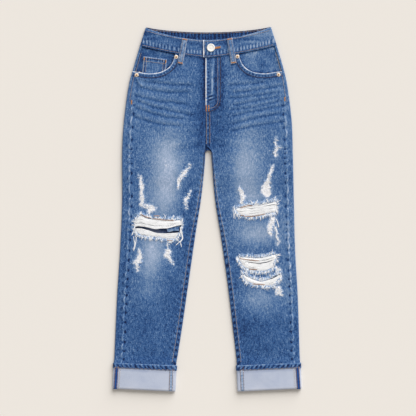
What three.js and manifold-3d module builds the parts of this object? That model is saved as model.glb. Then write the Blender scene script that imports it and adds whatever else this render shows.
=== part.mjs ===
// Ripped high-rise straight-leg jeans, laid flat on their back with the front up.
// Millimetres. +X is the wearer's left, +Y the waist, +Z up, away from what they lie on.
// Every piece of cloth is a wall of its own, a seam gap away from its neighbours.

import * as THREE from 'three';
import { mergeVertices } from 'three/addons/utils/BufferGeometryUtils.js';
import Module from 'manifold-3d';

const wasm = await Module();
wasm.setup();

// ---- Driving dimensions ----------------------------------------------------------

const denim = 1.3;            // one layer of cloth with its finish
const waistbandPly = 2.4;     // waistband, cut double and folded at its top edge
const weftPly = 0.9;          // bare weft threads left across a rip
const seamGap = 0.3;          // clearance between pieces that are sewn together
const waistGap = 0.8;         // the same at the curved waist seam
const underPiece = denim + seamGap;   // what lies under a panel lifts it by this

const waistTopFront = 441;    // top edge of the waistband at the centre front
const waistSeamFront = 395.5; // seam between the waistband and the fronts, centre
const waistTopBack = 461;     // top edge of the waistband at the centre back
const waistbandDepth = 45;
const centreFront = -4;       // fly edge and front rise seam
const centreBack = 3;         // back rise seam
const crotch = 150;           // level where the legs part
const riseEnd = 172;          // level where the front rise seam runs into the inseams
const yokeSeamSide = 387;
const yokeSeamCentre = 337;
const legEnd = -463;          // cut end of the legs inside the turn-ups

const outseamWrap = 16;       // how far the backs come round onto the front
const outseamWrapHip = 6;
const inseamWrap = 10;

const overlapEnd = -10;       // waistband end on top, with the buttonhole
const underlapEnd = 22;       // waistband end below, with the button's shank

const hemBand = 13;           // depth of the stitched hem on the turn-up
const cuffTop = { outer: -398, inner: -405 };
const cuffBottom = { outer: -465, inner: -472.4 };

// The flat outline of each side: [level, X] from the waist to the hem. Above the crotch
// the inner outline is not used.
const sides = [
  {
    name: 'right',
    out: -1,
    outer: [[472, -160], [428, -174], [374, -190], [327, -203], [233, -216], [155, -221],
      [25, -221], [-100, -226], [-224, -234], [-380, -241], [-396, -242], [-473, -245]],
    inner: [[155, -4], [117, -6], [25, -16], [-57, -29], [-182, -47], [-307, -65],
      [-380, -76.5], [-396, -79.5], [-473, -84]],
  },
  {
    name: 'left',
    out: 1,
    outer: [[472, 167], [428, 181], [374, 197], [327, 208], [233, 220], [155, 223],
      [25, 226], [-100, 229], [-224, 236], [-380, 241], [-396, 242], [-473, 244.5]],
    inner: [[155, 10], [117, 13], [25, 21], [-57, 34], [-182, 52], [-307, 67],
      [-380, 75.5], [-396, 77], [-473, 80.5]],
  },
];

// ---- Cloth and colours ------------------------------------------------------------

function finish(colour, roughness, metalness = 0) {
  return new THREE.MeshStandardMaterial({ color: colour, roughness, metalness });
}

const finishes = {
  denim: finish(0x54759f, 0.95),
  denimInside: finish(0xb4bdd2, 0.95),
  weft: finish(0xece9ea, 0.9),
  zipTape: finish(0x3c5f92, 0.9),
  button: finish(0xe6e2dc, 0.35, 0.9),
  rivet: finish(0xe9c9a2, 0.4, 0.9),
};

// ---- Small tools ------------------------------------------------------------------

const mix = (a, b, t) => a + (b - a) * t;
const ramp = (value, from, to) => THREE.MathUtils.clamp((value - from) / (to - from), 0, 1);

// A smooth line through [level, value] pairs that run downwards, read at any level.
function lineAt(pairs, level) {
  const last = pairs.length - 1;
  if (level >= pairs[0][0]) return pairs[0][1];
  if (level <= pairs[last][0]) return pairs[last][1];
  let k = 0;
  while (level < pairs[k + 1][0]) k += 1;
  const slope = (a, b) => (pairs[b][1] - pairs[a][1]) / (pairs[b][0] - pairs[a][0]);
  const slopeAt = (n) => slope(Math.max(n - 1, 0), Math.min(n + 1, last));
  const span = pairs[k + 1][0] - pairs[k][0];
  const t = (level - pairs[k][0]) / span;
  const t2 = t * t;
  const t3 = t2 * t;
  return (2 * t3 - 3 * t2 + 1) * pairs[k][1] + (t3 - 2 * t2 + t) * span * slopeAt(k)
    + (3 * t2 - 2 * t3) * pairs[k + 1][1] + (t3 - t2) * span * slopeAt(k + 1);
}

// A wall of cloth on a grid of points. pointAt(i, j) is the outer face, and the inner face
// lies a thickness behind it. turn is 1 or -1, so that columns x rows points outwards.
function clothWall({ columns, rows, pointAt, thicknessAt, turn, ring = false }) {
  const across = ring ? columns : columns + 1;
  const grid = [];
  for (let i = 0; i < across; i += 1) {
    grid.push([]);
    for (let j = 0; j <= rows; j += 1) grid[i].push(pointAt(i, j));
  }
  const column = (i) => grid[ring ? (i + across) % across : THREE.MathUtils.clamp(i, 0, columns)];
  const clampRow = (j) => THREE.MathUtils.clamp(j, 0, rows);
  const outer = [];
  const inner = [];
  for (let i = 0; i < across; i += 1) {
    for (let j = 0; j <= rows; j += 1) {
      const along = column(i + 1)[j].clone().sub(column(i - 1)[j]);
      const down = grid[i][clampRow(j + 1)].clone().sub(grid[i][clampRow(j - 1)]);
      const outward = along.cross(down).normalize().multiplyScalar(turn);
      outer.push(grid[i][j]);
      inner.push(grid[i][j].clone().addScaledVector(outward, -thicknessAt(i, j)));
    }
  }
  const points = [...outer, ...inner];
  const behind = outer.length;
  const at = (i, j) => (i % across) * (rows + 1) + j;
  const index = [];
  const quad = (a, b, c, d) => index.push(a, b, c, a, c, d);
  for (let i = 0; i < columns; i += 1) {
    for (let j = 0; j < rows; j += 1) {
      quad(at(i, j), at(i + 1, j), at(i + 1, j + 1), at(i, j + 1));
      quad(behind + at(i, j), behind + at(i, j + 1), behind + at(i + 1, j + 1), behind + at(i + 1, j));
    }
    quad(at(i, 0), behind + at(i, 0), behind + at(i + 1, 0), at(i + 1, 0));
    quad(at(i, rows), at(i + 1, rows), behind + at(i + 1, rows), behind + at(i, rows));
  }
  if (!ring) {
    for (let j = 0; j < rows; j += 1) {
      quad(at(0, j), at(0, j + 1), behind + at(0, j + 1), behind + at(0, j));
      quad(at(columns, j), behind + at(columns, j), behind + at(columns, j + 1), at(columns, j + 1));
    }
  }
  if (turn < 0) index.reverse();
  const geometry = new THREE.BufferGeometry();
  geometry.setAttribute('position', new THREE.Float32BufferAttribute(
    points.flatMap((point) => [point.x, point.y, point.z]), 3));
  geometry.setIndex(index);
  return geometry;
}

function toSolid(geometry) {
  const plain = geometry.clone();
  plain.deleteAttribute('normal');
  plain.deleteAttribute('uv');
  const merged = mergeVertices(plain, 1e-4);
  return new wasm.Manifold(new wasm.Mesh({
    numProp: 3,
    vertProperties: new Float32Array(merged.attributes.position.array),
    triVerts: new Uint32Array(merged.index.array),
  }));
}

function toGeometry(solid) {
  const mesh = solid.getMesh();
  const geometry = new THREE.BufferGeometry();
  geometry.setAttribute('position', new THREE.Float32BufferAttribute(mesh.vertProperties, 3));
  geometry.setIndex([...mesh.triVerts]);
  return geometry;
}

// A flat plate or cutter of an outline, from one level to another.
function plate(shape, from, to) {
  const geometry = new THREE.ExtrudeGeometry(shape, { depth: to - from, bevelEnabled: false });
  return geometry.translate(0, 0, from);
}

function polygon(points) {
  return new THREE.Shape(points.map(([x, y]) => new THREE.Vector2(x, y)));
}

const jeans = new THREE.Group();

function addPiece(name, geometry, material) {
  const mesh = new THREE.Mesh(geometry, material);
  mesh.name = name;
  jeans.add(mesh);
  return mesh;
}

// ---- How the layers lie -----------------------------------------------------------

// Underside of the back panels: the pockets and loops under the seat, and the turn-ups
// under the leg ends, lift it off the surface.
const underside = (y) => underPiece * Math.max(ramp(y, 40, 100), ramp(y, -380, -396));

// Outer face of the front panels.
const legHeight = 6.2;
const hipHeight = 8.0;
const hemHeight = 7.5;
const topside = (y) => legHeight + (hipHeight - legHeight) * ramp(y, 40, 100)
  + (hemHeight - legHeight) * ramp(y, -380, -396);

const frontSeamAt = (x) => waistSeamFront + 31 * Math.pow(Math.abs(x) / 177, 1.4);
const frontEdgeAt = (x) => waistTopFront + 29 * Math.pow(Math.abs(x) / 165, 1.7);
const backEdgeAt = (x) => waistTopBack + 11 * Math.pow(x / 158, 2);
const backSeamAt = (x) => backEdgeAt(x) - waistbandDepth;
const waistSeamSide = 426;    // the waist seam's level at the sides
const waistFoldRadius = (hipHeight - underPiece) / 2;
const waistFoldX = (side) => lineAt(side.outer, waistSeamSide) - side.out * waistFoldRadius;
const outseamWrapAt = (y) => mix(outseamWrap, outseamWrapHip, ramp(y, 240, 340));

// One layer's route round a side, in columns: outseam edge on the front, fold, underside,
// then the centre back or, on a leg, the inner fold and the inseam edge on the front.
const foldSteps = 4;
const foldStart = 2;
const foldEnd = foldStart + foldSteps;
const innerFold = foldEnd + 5;
const backColumns = innerFold + foldSteps + 1;
const nearCentre = 0.9;

function outerFold(side, y, column) {
  const radius = (topside(y) - underside(y)) / 2;
  const middle = (topside(y) + underside(y)) / 2;
  const edge = lineAt(side.outer, y);
  if (column <= foldStart) {
    const seam = edge - side.out * (outseamWrapAt(y) - seamGap / 2);
    return [mix(seam, edge - side.out * radius, column / foldStart), topside(y)];
  }
  const angle = (Math.PI * (column - foldStart)) / foldSteps;
  return [edge - side.out * radius * (1 - Math.sin(angle)), middle + radius * Math.cos(angle)];
}

// Share of the way from the outer fold to the centre back, above the crotch.
function towardsCentre(column) {
  if (column <= foldEnd) return 0;
  if (column <= innerFold) return (nearCentre * (column - foldEnd)) / (innerFold - foldEnd);
  return mix(nearCentre, 1, (column - innerFold) / (backColumns - innerFold));
}

function seatPoint(side, y, column) {
  if (column <= foldEnd) return outerFold(side, y, column);
  const [start] = outerFold(side, y, foldEnd);
  const seam = centreBack + (side.out * seamGap) / 2;
  return [mix(start, seam, towardsCentre(column)), underside(y)];
}

function legPoint(side, y, column) {
  if (column <= foldEnd) return outerFold(side, y, column);
  const radius = (topside(y) - underside(y)) / 2;
  const middle = (topside(y) + underside(y)) / 2;
  const edge = lineAt(side.inner, y);
  if (column <= innerFold) {
    const [start] = outerFold(side, y, foldEnd);
    const share = (column - foldEnd) / (innerFold - foldEnd);
    return [mix(start, edge + side.out * radius, share), underside(y)];
  }
  if (column <= innerFold + foldSteps) {
    const angle = (Math.PI * (column - innerFold)) / foldSteps;
    return [edge + side.out * radius * (1 - Math.sin(angle)), middle - radius * Math.cos(angle)];
  }
  return [edge + side.out * (inseamWrap - seamGap / 2), topside(y)];
}

// ---- Front panels, with the pocket mouths and the rips cut out ---------------------

const legLevels = [250, 210, riseEnd, crotch, 125, 100, 70, 40, -10, -60, -115, -170, -225,
  -280, -335, -380, -396, -430, legEnd];
const frontColumns = 8;
const crotchEase = 3;         // the inseam opens a little where the four seams meet
const yokeRows = 3;
const seatRows = 3;
const frontHipRows = yokeRows + seatRows;

function frontPoint(side, column, row) {
  const share = column / frontColumns;
  const edges = (y) => {
    const outseam = lineAt(side.outer, y) - side.out * (outseamWrapAt(y) + seamGap / 2);
    const rise = centreFront + (side.out * seamGap) / 2;
    const clear = seamGap / 2 + crotchEase * ramp(y, 125, crotch);
    const inseam = lineAt(side.inner, y) + side.out * (inseamWrap + clear);
    return [outseam, mix(inseam, rise, ramp(y, crotch, riseEnd))];
  };
  const across = (y) => mix(...edges(y), share);
  let level = legLevels[Math.max(row - frontHipRows, 0)];
  if (row < yokeRows) {
    const seam = frontSeamAt(across(waistSeamFront)) - waistGap / 2;
    level = mix(seam, yokeSeamSide, row / yokeRows);
  } else if (row < frontHipRows) {
    level = mix(yokeSeamSide, legLevels[0], (row - yokeRows) / seatRows);
  }
  return new THREE.Vector3(across(level), level, topside(level));
}

// Pocket mouth: from the waist seam round to the outseam, for the side at +X.
const pocketMouth = [[82, 404], [86, 392], [94, 376], [106, 365], [126, 356], [152, 354.5],
  [180, 358], [215, 361]];

function pocketCutter(side) {
  const curve = new THREE.SplineCurve(pocketMouth.map(([x, y]) => new THREE.Vector2(side.out * x, y)));
  const shape = new THREE.Shape(curve.getPoints(16));
  shape.lineTo(side.out * 230, 361);
  shape.lineTo(side.out * 230, 450);
  shape.lineTo(side.out * 82, 450);
  return plate(shape, 2, 12);
}

// Outlines of the cloth that is gone from the fronts, where only the weft is left.
const rips = {
  right_knee: {
    side: 'right',
    outline: [[-172, -13], [-152, -22], [-133, -23.5], [-109, -25.5], [-84, -27], [-69, -25],
      [-67, -40], [-72, -61], [-83, -76], [-108, -77], [-124, -73], [-152, -70], [-168, -68],
      [-183, -60], [-188, -42], [-184, -22]],
    slit: [[-152, -50], [-133, -54], [-104, -52], [-82, -44], [-60, -41], [-60, -61], [-98, -62],
      [-127, -63], [-140, -59]],
  },
  left_thigh: {
    side: 'left',
    outline: [[72, 2], [88, 8], [101, 14], [113, 13], [139, 15], [152, 18.5], [178, 23.5],
      [182, 12], [178, -8], [152, -12], [126, -17], [111, -18.5], [90, -15]],
  },
  left_knee_upper: {
    side: 'left',
    outline: [[82, -124], [99, -122], [121, -124], [137, -124.5], [155, -120.5], [177, -116],
      [180, -126], [174, -140], [171, -150], [155, -159], [137, -160.5], [110, -157],
      [94, -149], [86, -138]],
  },
  left_knee_lower: {
    side: 'left',
    outline: [[91, -166], [101, -171], [117, -178], [143, -186], [170, -180], [187, -171],
      [189, -178], [184, -184], [171, -197], [152, -198.5], [132, -196], [117, -192],
      [99, -185]],
  },
};

// A smooth closed outline through the points, drawn in by a margin.
function smoothOutline(points, margin = 0) {
  const curve = new THREE.CatmullRomCurve3(points.map(([x, y]) => new THREE.Vector3(x, y)), true);
  const around = curve.getPoints(3 * points.length).slice(0, -1);
  const inwards = Math.sign(THREE.ShapeUtils.area(around));
  const count = around.length;
  return new THREE.Shape(around.map((point, k) => {
    const along = around[(k + 1) % count].clone().sub(around[(k + count - 1) % count]).normalize();
    return new THREE.Vector2(point.x - along.y * inwards * margin, point.y + along.x * inwards * margin);
  }));
}

const weftMargin = 0.8;

for (const side of sides) {
  let panel = toSolid(clothWall({
    columns: frontColumns,
    rows: frontHipRows + legLevels.length - 1,
    pointAt: (i, j) => frontPoint(side, i, j),
    thicknessAt: () => denim,
    turn: side.out,
  }));
  panel = panel.subtract(toSolid(pocketCutter(side)));
  for (const rip of Object.values(rips)) {
    if (rip.side === side.name) {
      panel = panel.subtract(toSolid(plate(smoothOutline(rip.outline), 2, 12)));
    }
  }
  addPiece(`front_${side.name}`, toGeometry(panel), finishes.denim);
}

for (const [name, rip] of Object.entries(rips)) {
  const level = legHeight - 0.2;
  let weft = toSolid(plate(smoothOutline(rip.outline, weftMargin), level - weftPly, level));
  if (rip.slit) {
    weft = weft.subtract(toSolid(plate(polygon(rip.slit), 2, 12)));
  }
  addPiece(`weft_${name}`, toGeometry(weft), finishes.weft);
}

// ---- Back yokes and back panels, which come round both folds onto the front --------

function waistSeamRound(side, column) {
  const round = ramp(column, foldStart, foldEnd);
  const [x] = column < foldStart ? outerFold(side, waistSeamSide, column)
    : [mix(waistFoldX(side), centreBack, towardsCentre(column))];
  return mix(frontSeamAt(x), backSeamAt(x), round) - waistGap / 2;
}

const yokeSeamRound = (column) => mix(yokeSeamSide, yokeSeamCentre, towardsCentre(column));

for (const side of sides) {
  addPiece(`yoke_${side.name}`, clothWall({
    columns: backColumns,
    rows: yokeRows,
    pointAt: (i, j) => {
      const bottom = yokeSeamRound(i) + seamGap / 2;
      const level = mix(waistSeamRound(side, i), bottom, j / yokeRows);
      const [x, z] = seatPoint(side, level, i);
      return new THREE.Vector3(x, level, z);
    },
    thicknessAt: () => denim,
    turn: -side.out,
  }), finishes.denim);

  addPiece(`back_${side.name}`, clothWall({
    columns: backColumns,
    rows: seatRows + legLevels.length - 1,
    pointAt: (i, j) => {
      const below = Math.max(j - seatRows, 0);
      let level = legLevels[below];
      if (j < seatRows) {
        level = mix(yokeSeamRound(i) - seamGap / 2, legLevels[0], j / seatRows);
      }
      const [x, z] = level > crotch + 1 ? seatPoint(side, level, i) : legPoint(side, level, i);
      return new THREE.Vector3(x, level, z);
    },
    thicknessAt: () => denim,
    turn: -side.out,
  }), finishes.denim);
}

// ---- Waistband: one double strip, from the top end at the fly round to the lower end --

const bandFront = 8;
const bandBack = 10;
const bandRows = 3;
const bandColumns = 2 * bandFront + bandBack + 2 * foldSteps;
const overlapHeight = hipHeight + 1.5;
const underlapHeight = overlapHeight - waistbandPly - seamGap;

function bandPoint(column, row) {
  const [right, left] = sides;
  const levels = (x, back) => {
    const top = mix(frontEdgeAt(x), backEdgeAt(x), back);
    const bottom = mix(frontSeamAt(x), backSeamAt(x), back) + waistGap / 2;
    return mix(top, bottom, row / bandRows);
  };
  const fold = (side, round) => {
    const level = levels(waistFoldX(side), round);
    const across = waistFoldRadius * (1 - Math.sin(Math.PI * round));
    const high = waistFoldRadius * (1 + Math.cos(Math.PI * round));
    return new THREE.Vector3(lineAt(side.outer, level) - side.out * across, level, underPiece + high);
  };
  const leftFold = bandFront;
  const back = leftFold + foldSteps;
  const rightFold = back + bandBack;
  const underlap = rightFold + foldSteps;
  if (column < leftFold) {
    const x = mix(overlapEnd, waistFoldX(left), column / bandFront);
    return new THREE.Vector3(x, levels(x, 0), mix(overlapHeight, hipHeight, ramp(x, 25, 48)));
  }
  if (column <= back) return fold(left, (column - leftFold) / foldSteps);
  if (column < rightFold) {
    const x = mix(waistFoldX(left), waistFoldX(right), (column - back) / bandBack);
    return new THREE.Vector3(x, levels(x, 1), underPiece);
  }
  if (column <= underlap) return fold(right, 1 - (column - rightFold) / foldSteps);
  const x = mix(waistFoldX(right), underlapEnd, (column - underlap) / bandFront);
  return new THREE.Vector3(x, levels(x, 0), mix(hipHeight, underlapHeight, ramp(x, -50, -20)));
}

addPiece('waistband', clothWall({
  columns: bandColumns,
  rows: bandRows,
  pointAt: bandPoint,
  thicknessAt: () => waistbandPly,
  turn: -1,
}), finishes.denim);

// ---- Front pockets: the facing behind each mouth, and the coin pocket ---------------

const facingTop = hipHeight - 2 * denim - 2 * seamGap;
const facingRows = 5;
const facingColumns = 5;

for (const side of sides) {
  addPiece(`pocket_facing_${side.name}`, clothWall({
    columns: facingColumns,
    rows: facingRows,
    pointAt: (i, j) => {
      const across = (y) => {
        const outer = lineAt(side.outer, y) - side.out * (outseamWrapHip + seamGap);
        return mix(outer, side.out * mix(100, 74, ramp(y, 300, 400)), i / facingColumns);
      };
      const top = frontSeamAt(across(410)) - seamGap;
      const level = mix(top, 304, j / facingRows);
      return new THREE.Vector3(across(level), level, facingTop);
    },
    thicknessAt: () => denim,
    turn: side.out,
  }), finishes.denim);
}

addPiece('coin_pocket', plate(polygon([[-165, 399], [-104, 391], [-113, 312], [-172, 318]]),
  facingTop + seamGap, facingTop + seamGap + denim), finishes.denim);

// ---- Back pockets, face down under the seat ----------------------------------------

for (const side of sides) {
  const centre = centreBack + side.out * 106;
  const outline = [[-70, 305], [70, 298], [62, 178], [0, 152], [-62, 185]];
  addPiece(`back_pocket_${side.name}`,
    plate(polygon(outline.map(([x, y]) => [centre - side.out * x, y])), 0, denim), finishes.denim);
}

// ---- Belt loops: two slanted ones in front, three behind ----------------------------

const loopWidth = 14;
const loopArch = 1.2;

function frontLoop(top, bottom) {
  const along = new THREE.Vector2().subVectors(bottom, top);
  const acrossLoop = new THREE.Vector2(-along.y, along.x).normalize().multiplyScalar(loopWidth / 2);
  const steps = 8;
  return clothWall({
    columns: 1,
    rows: steps,
    pointAt: (i, j) => {
      const share = j / steps;
      const place = top.clone().addScaledVector(along, share)
        .addScaledVector(acrossLoop, i === 0 ? -1 : 1);
      const arch = loopArch * Math.sin(Math.PI * share);
      return new THREE.Vector3(place.x, place.y, hipHeight + seamGap + denim + arch);
    },
    thicknessAt: () => denim,
    turn: 1,
  });
}

addPiece('belt_loop_front_right',
  frontLoop(new THREE.Vector2(-57, 444), new THREE.Vector2(-70, 379)), finishes.denim);
addPiece('belt_loop_front_left',
  frontLoop(new THREE.Vector2(58.5, 445), new THREE.Vector2(69.5, 380)), finishes.denim);

for (const [name, offset] of [['right', -95], ['centre', 0], ['left', 95]]) {
  const x = centreBack + offset;
  const half = loopWidth / 2;
  const top = backEdgeAt(x) - 1;
  addPiece(`belt_loop_back_${name}`, plate(polygon([[x - half, top - 64], [x + half, top - 64],
    [x + half, top], [x - half, top]]), 0, denim), finishes.denim);
}

// ---- Fly: the closed zip under the flap ----------------------------------------------

const tapeHalf = 14;
const tapePly = 0.8;
const chainHalf = 3;
const chainHeight = 1.6;
const zipSection = polygon([[-tapeHalf, 0], [tapeHalf, 0], [tapeHalf, tapePly],
  [chainHalf, tapePly], [chainHalf, chainHeight], [-chainHalf, chainHeight],
  [-chainHalf, tapePly], [-tapeHalf, tapePly]]);
const zipLength = 128;
const zip = new THREE.ExtrudeGeometry(zipSection, { depth: zipLength, bevelEnabled: false });
zip.rotateX(Math.PI / 2).translate(13, 391, hipHeight - denim - seamGap - chainHeight);
addPiece('zip', zip, finishes.zipTape);

// ---- Turn-ups: the leg ends turned outwards and up, wrong side out -------------------

const cuffArc = 6;
const cuffFlat = 6;
const cuffLevels = [0, 0.3, 0.65, 1];

for (const side of sides) {
  addPiece(`cuff_${side.name}`, clothWall({
    ring: true,
    columns: 2 * cuffArc + 2 * cuffFlat,
    rows: cuffLevels.length - 1,
    pointAt: (i, j) => {
      // Columns run up round the outer fold, over the top, down the inner fold and back.
      const inTop = THREE.MathUtils.clamp((i - cuffArc) / cuffFlat, 0, 1);
      const inBottom = THREE.MathUtils.clamp((i - 2 * cuffArc - cuffFlat) / cuffFlat, 0, 1);
      const share = inTop - inBottom;
      const level = mix(mix(cuffTop.outer, cuffTop.inner, share),
        mix(cuffBottom.outer, cuffBottom.inner, share), cuffLevels[j]);
      const high = hemHeight + seamGap + denim;
      const radius = high / 2;
      const outer = lineAt(side.outer, level) + side.out * (underPiece - radius);
      const inner = lineAt(side.inner, level) - side.out * (underPiece - radius);
      if (i <= cuffArc) {
        const angle = (Math.PI * i) / cuffArc;
        return new THREE.Vector3(outer + side.out * radius * Math.sin(angle), level,
          radius - radius * Math.cos(angle));
      }
      if (i <= cuffArc + cuffFlat) return new THREE.Vector3(mix(outer, inner, inTop), level, high);
      if (i <= 2 * cuffArc + cuffFlat) {
        const angle = (Math.PI * (i - cuffArc - cuffFlat)) / cuffArc;
        return new THREE.Vector3(inner - side.out * radius * Math.sin(angle), level,
          radius + radius * Math.cos(angle));
      }
      return new THREE.Vector3(mix(inner, outer, inBottom), level, 0);
    },
    thicknessAt: () => denim,
    turn: side.out,
  }), finishes.denimInside);

  // The stitched hem, a folded band on the front of the turn-up's upper edge.
  const bandStart = lineAt(side.outer, cuffTop.outer) - side.out * 4;
  const bandStop = lineAt(side.inner, cuffTop.inner) + side.out * 4;
  const low = hemHeight + 2 * seamGap + denim;
  addPiece(`hem_${side.name}`, clothWall({
    columns: cuffFlat,
    rows: 2,
    pointAt: (i, j) => {
      const share = i / cuffFlat;
      const level = mix(cuffTop.outer, cuffTop.inner, share) - (j * hemBand) / 2;
      return new THREE.Vector3(mix(bandStart, bandStop, share), level, low + denim);
    },
    thicknessAt: () => denim,
    turn: side.out,
  }), finishes.denim);
}

// ---- Hardware: the waist button and the pocket rivets --------------------------------

function turned(profile, x, y, z, steps) {
  const geometry = new THREE.LatheGeometry(profile.map(([r, h]) => new THREE.Vector2(r, h)), steps);
  return geometry.rotateX(Math.PI / 2).translate(x, y, z);
}

const buttonProfile = [[0, 0], [7, 0], [7, 0.8], [10, 1], [10.6, 1.8], [10, 2.8], [8, 3.1],
  [7.4, 2.5], [4, 2.3], [0, 2.6]];
addPiece('button', turned(buttonProfile, 10, 421, overlapHeight + seamGap, 24), finishes.button);

const rivetProfile = [[0, 0], [5.2, 0], [5.2, 0.5], [4, 1.2], [2.2, 1.3], [1.7, 2], [0, 2.1]];
const rivetPlaces = [['top_right', -80, 397], ['top_left', 79, 398], ['side_right', -183, 350],
  ['side_left', 186, 351]];
for (const [name, x, y] of rivetPlaces) {
  addPiece(`rivet_${name}`, turned(rivetProfile, x, y, hipHeight + seamGap, 16), finishes.rivet);
}

// ---- Origin at the middle of the underside -------------------------------------------

const bounds = new THREE.Box3().setFromObject(jeans, true);
jeans.position.set(-(bounds.min.x + bounds.max.x) / 2, -(bounds.min.y + bounds.max.y) / 2,
  -bounds.min.z);

export default jeans;
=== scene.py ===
"""Ripped high-rise straight-leg jeans, laid flat on their back with the front up."""
import math

import bpy
import numpy as np
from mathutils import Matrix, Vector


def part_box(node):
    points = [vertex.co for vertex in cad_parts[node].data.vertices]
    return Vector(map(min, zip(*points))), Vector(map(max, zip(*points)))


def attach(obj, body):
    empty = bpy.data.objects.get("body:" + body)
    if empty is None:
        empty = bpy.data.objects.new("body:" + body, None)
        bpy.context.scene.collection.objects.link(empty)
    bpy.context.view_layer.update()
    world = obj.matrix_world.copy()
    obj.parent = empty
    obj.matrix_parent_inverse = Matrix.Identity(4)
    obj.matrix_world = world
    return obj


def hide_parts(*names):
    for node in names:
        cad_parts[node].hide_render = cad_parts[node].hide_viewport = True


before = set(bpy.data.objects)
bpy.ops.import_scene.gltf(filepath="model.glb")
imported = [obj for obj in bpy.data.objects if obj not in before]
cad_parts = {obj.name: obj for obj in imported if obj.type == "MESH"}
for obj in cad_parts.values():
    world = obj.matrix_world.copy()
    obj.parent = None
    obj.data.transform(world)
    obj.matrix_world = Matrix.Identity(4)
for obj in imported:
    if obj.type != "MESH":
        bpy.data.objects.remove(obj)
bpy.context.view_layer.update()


# ---- Where they lie ----------------------------------------------------------------------
# A plain pale table top, matt as painted board. Soft low daylight comes from the waist end,
# and they are seen from straight above.

table_size = 8.0


def colour(red, green, blue):
    """A display colour, 0 to 255, as the linear value a shader takes."""
    linear = [(c / 255 / 12.92) if c <= 10 else ((c / 255 + 0.055) / 1.055) ** 2.4
              for c in (red, green, blue)]
    return (*linear, 1.0)


def new_finish(name, roughness, specular):
    """A material with its shader, and its nodes and links for what else it needs."""
    material = bpy.data.materials.new(name)
    material.use_nodes = True
    nodes = material.node_tree.nodes
    shader = nodes["Principled BSDF"]
    shader.inputs["Roughness"].default_value = roughness
    shader.inputs["Specular IOR Level"].default_value = specular
    return material, shader, nodes, material.node_tree.links.new


scene = bpy.context.scene
scene.view_settings.view_transform = "Standard"

bpy.ops.object.select_all(action="DESELECT")
bpy.ops.mesh.primitive_plane_add(size=table_size, location=(0, 0, 0))
bpy.ops.object.transform_apply()
table = bpy.context.object
table.name = "table_top"
table_paint, paint, _, _ = new_finish("table_paint", 0.9, 0.1)
paint.inputs["Base Color"].default_value = colour(241, 236, 230)
table.data.materials.append(table_paint)

world = bpy.data.worlds.new("room_light")
world.use_nodes = True
room = world.node_tree.nodes["Background"]
room.inputs["Color"].default_value = (1.0, 0.965, 0.91, 1)
room.inputs["Strength"].default_value = 0.43
scene.world = world

daylight = bpy.data.lights.new("daylight", "SUN")
daylight.energy = 3.55
daylight.angle = math.radians(52)
window = bpy.data.objects.new("daylight", daylight)
scene.collection.objects.link(window)
window.location = (0.5, 1.2, 1.0)
window.rotation_euler = (math.radians(-62), 0, math.radians(-24))

camera_height = 6.0
waist_button_height = 0.007
view_width = 1.0816
view_centre = (0.0027, 0.0031)
camera = bpy.data.cameras.new("overhead")
camera.lens = camera.sensor_width * camera_height / view_width
overhead = bpy.data.objects.new("overhead", camera)
scene.collection.objects.link(overhead)
overhead.location = (*view_centre, camera_height + waist_button_height)
scene.camera = overhead


# ---- How the cloth lies ------------------------------------------------------------------
# The cut of each side as the solid model has it, in millimetres: outlines are
# [level, X] from waist to hem. The wearer's right side is at -X.

denim_ply = 1.3
table_gap = 0.15
under_piece = 1.6         # what lies under the hips and the turn-ups lifts the panels by this
leg_height = 6.2
hip_lift = 1.8
cuff_lift = 1.3
right_side = {
    "name": "right", "out": -1,
    "outer": [[472, -160], [428, -174], [374, -190], [327, -203], [233, -216], [155, -221],
              [25, -221], [-100, -226], [-224, -234], [-380, -241], [-396, -242], [-473, -245]],
    "inner": [[155, -4], [117, -6], [25, -16], [-57, -29], [-182, -47], [-307, -65],
              [-380, -76.5], [-396, -79.5], [-473, -84]],
}
left_side = {
    "name": "left", "out": 1,
    "outer": [[472, 167], [428, 181], [374, 197], [327, 208], [233, 220], [155, 223],
              [25, 226], [-100, 229], [-224, 236], [-380, 241], [-396, 242], [-473, 244.5]],
    "inner": [[155, 10], [117, 13], [25, 21], [-57, 34], [-182, 52], [-307, 67],
              [-380, 75.5], [-396, 77], [-473, 80.5]],
}
sides = [right_side, left_side]
centre_front = -4
centre_back = 3
crotch = 150
rise_end = 172
leg_end = -463

# This pattern's own zero, found from where the button lies in it and in the frame.
button_place = (0.010, 0.421)
button_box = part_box("button")
shift = np.array([(button_box[0][k] + button_box[1][k]) / 2 - button_place[k] for k in (0, 1)]
                 + [0.0])


def mix(a, b, t):
    return a + (b - a) * t


def ramp(value, start, end):
    return np.clip((np.asarray(value, float) - start) / (end - start), 0, 1)


def ease(value, start, end):
    t = ramp(value, start, end)
    return t * t * (3 - 2 * t)


def close_to(distance, width, power=2):
    """1 where a distance is nothing, falling to 0 beyond about `width` of it."""
    return np.exp(-(distance / width) ** power)


def wave(turns):
    """Evenly spaced folds: 1 at each whole turn, -1 between."""
    return np.cos(2 * math.pi * turns)


def line_at(pairs, level):
    """A smooth line through [level, value] pairs that run downwards, read at any level."""
    levels, values = np.array(pairs[::-1], float).T
    before = np.r_[0, 0:len(levels) - 1]
    after = np.r_[1:len(levels), len(levels) - 1]
    slopes = (values[after] - values[before]) / (levels[after] - levels[before])
    level = np.clip(np.asarray(level, float), levels[0], levels[-1])
    k = np.clip(np.searchsorted(levels, level, side="right") - 1, 0, len(levels) - 2)
    span = levels[k + 1] - levels[k]
    t = (level - levels[k]) / span
    return ((2 * t**3 - 3 * t**2 + 1) * values[k] + (t**3 - 2 * t**2 + t) * span * slopes[k]
            + (3 * t**2 - 2 * t**3) * values[k + 1] + (t**3 - t**2) * span * slopes[k + 1])


def over_pockets(y):
    return ease(y, 40, 100)


def over_turn_up(y):
    return ease(-np.asarray(y, float), 380, 396)


def underside(y):
    """Height of the back panels' outer face over the table."""
    return table_gap + under_piece * np.maximum(over_pockets(y), over_turn_up(y))


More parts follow.
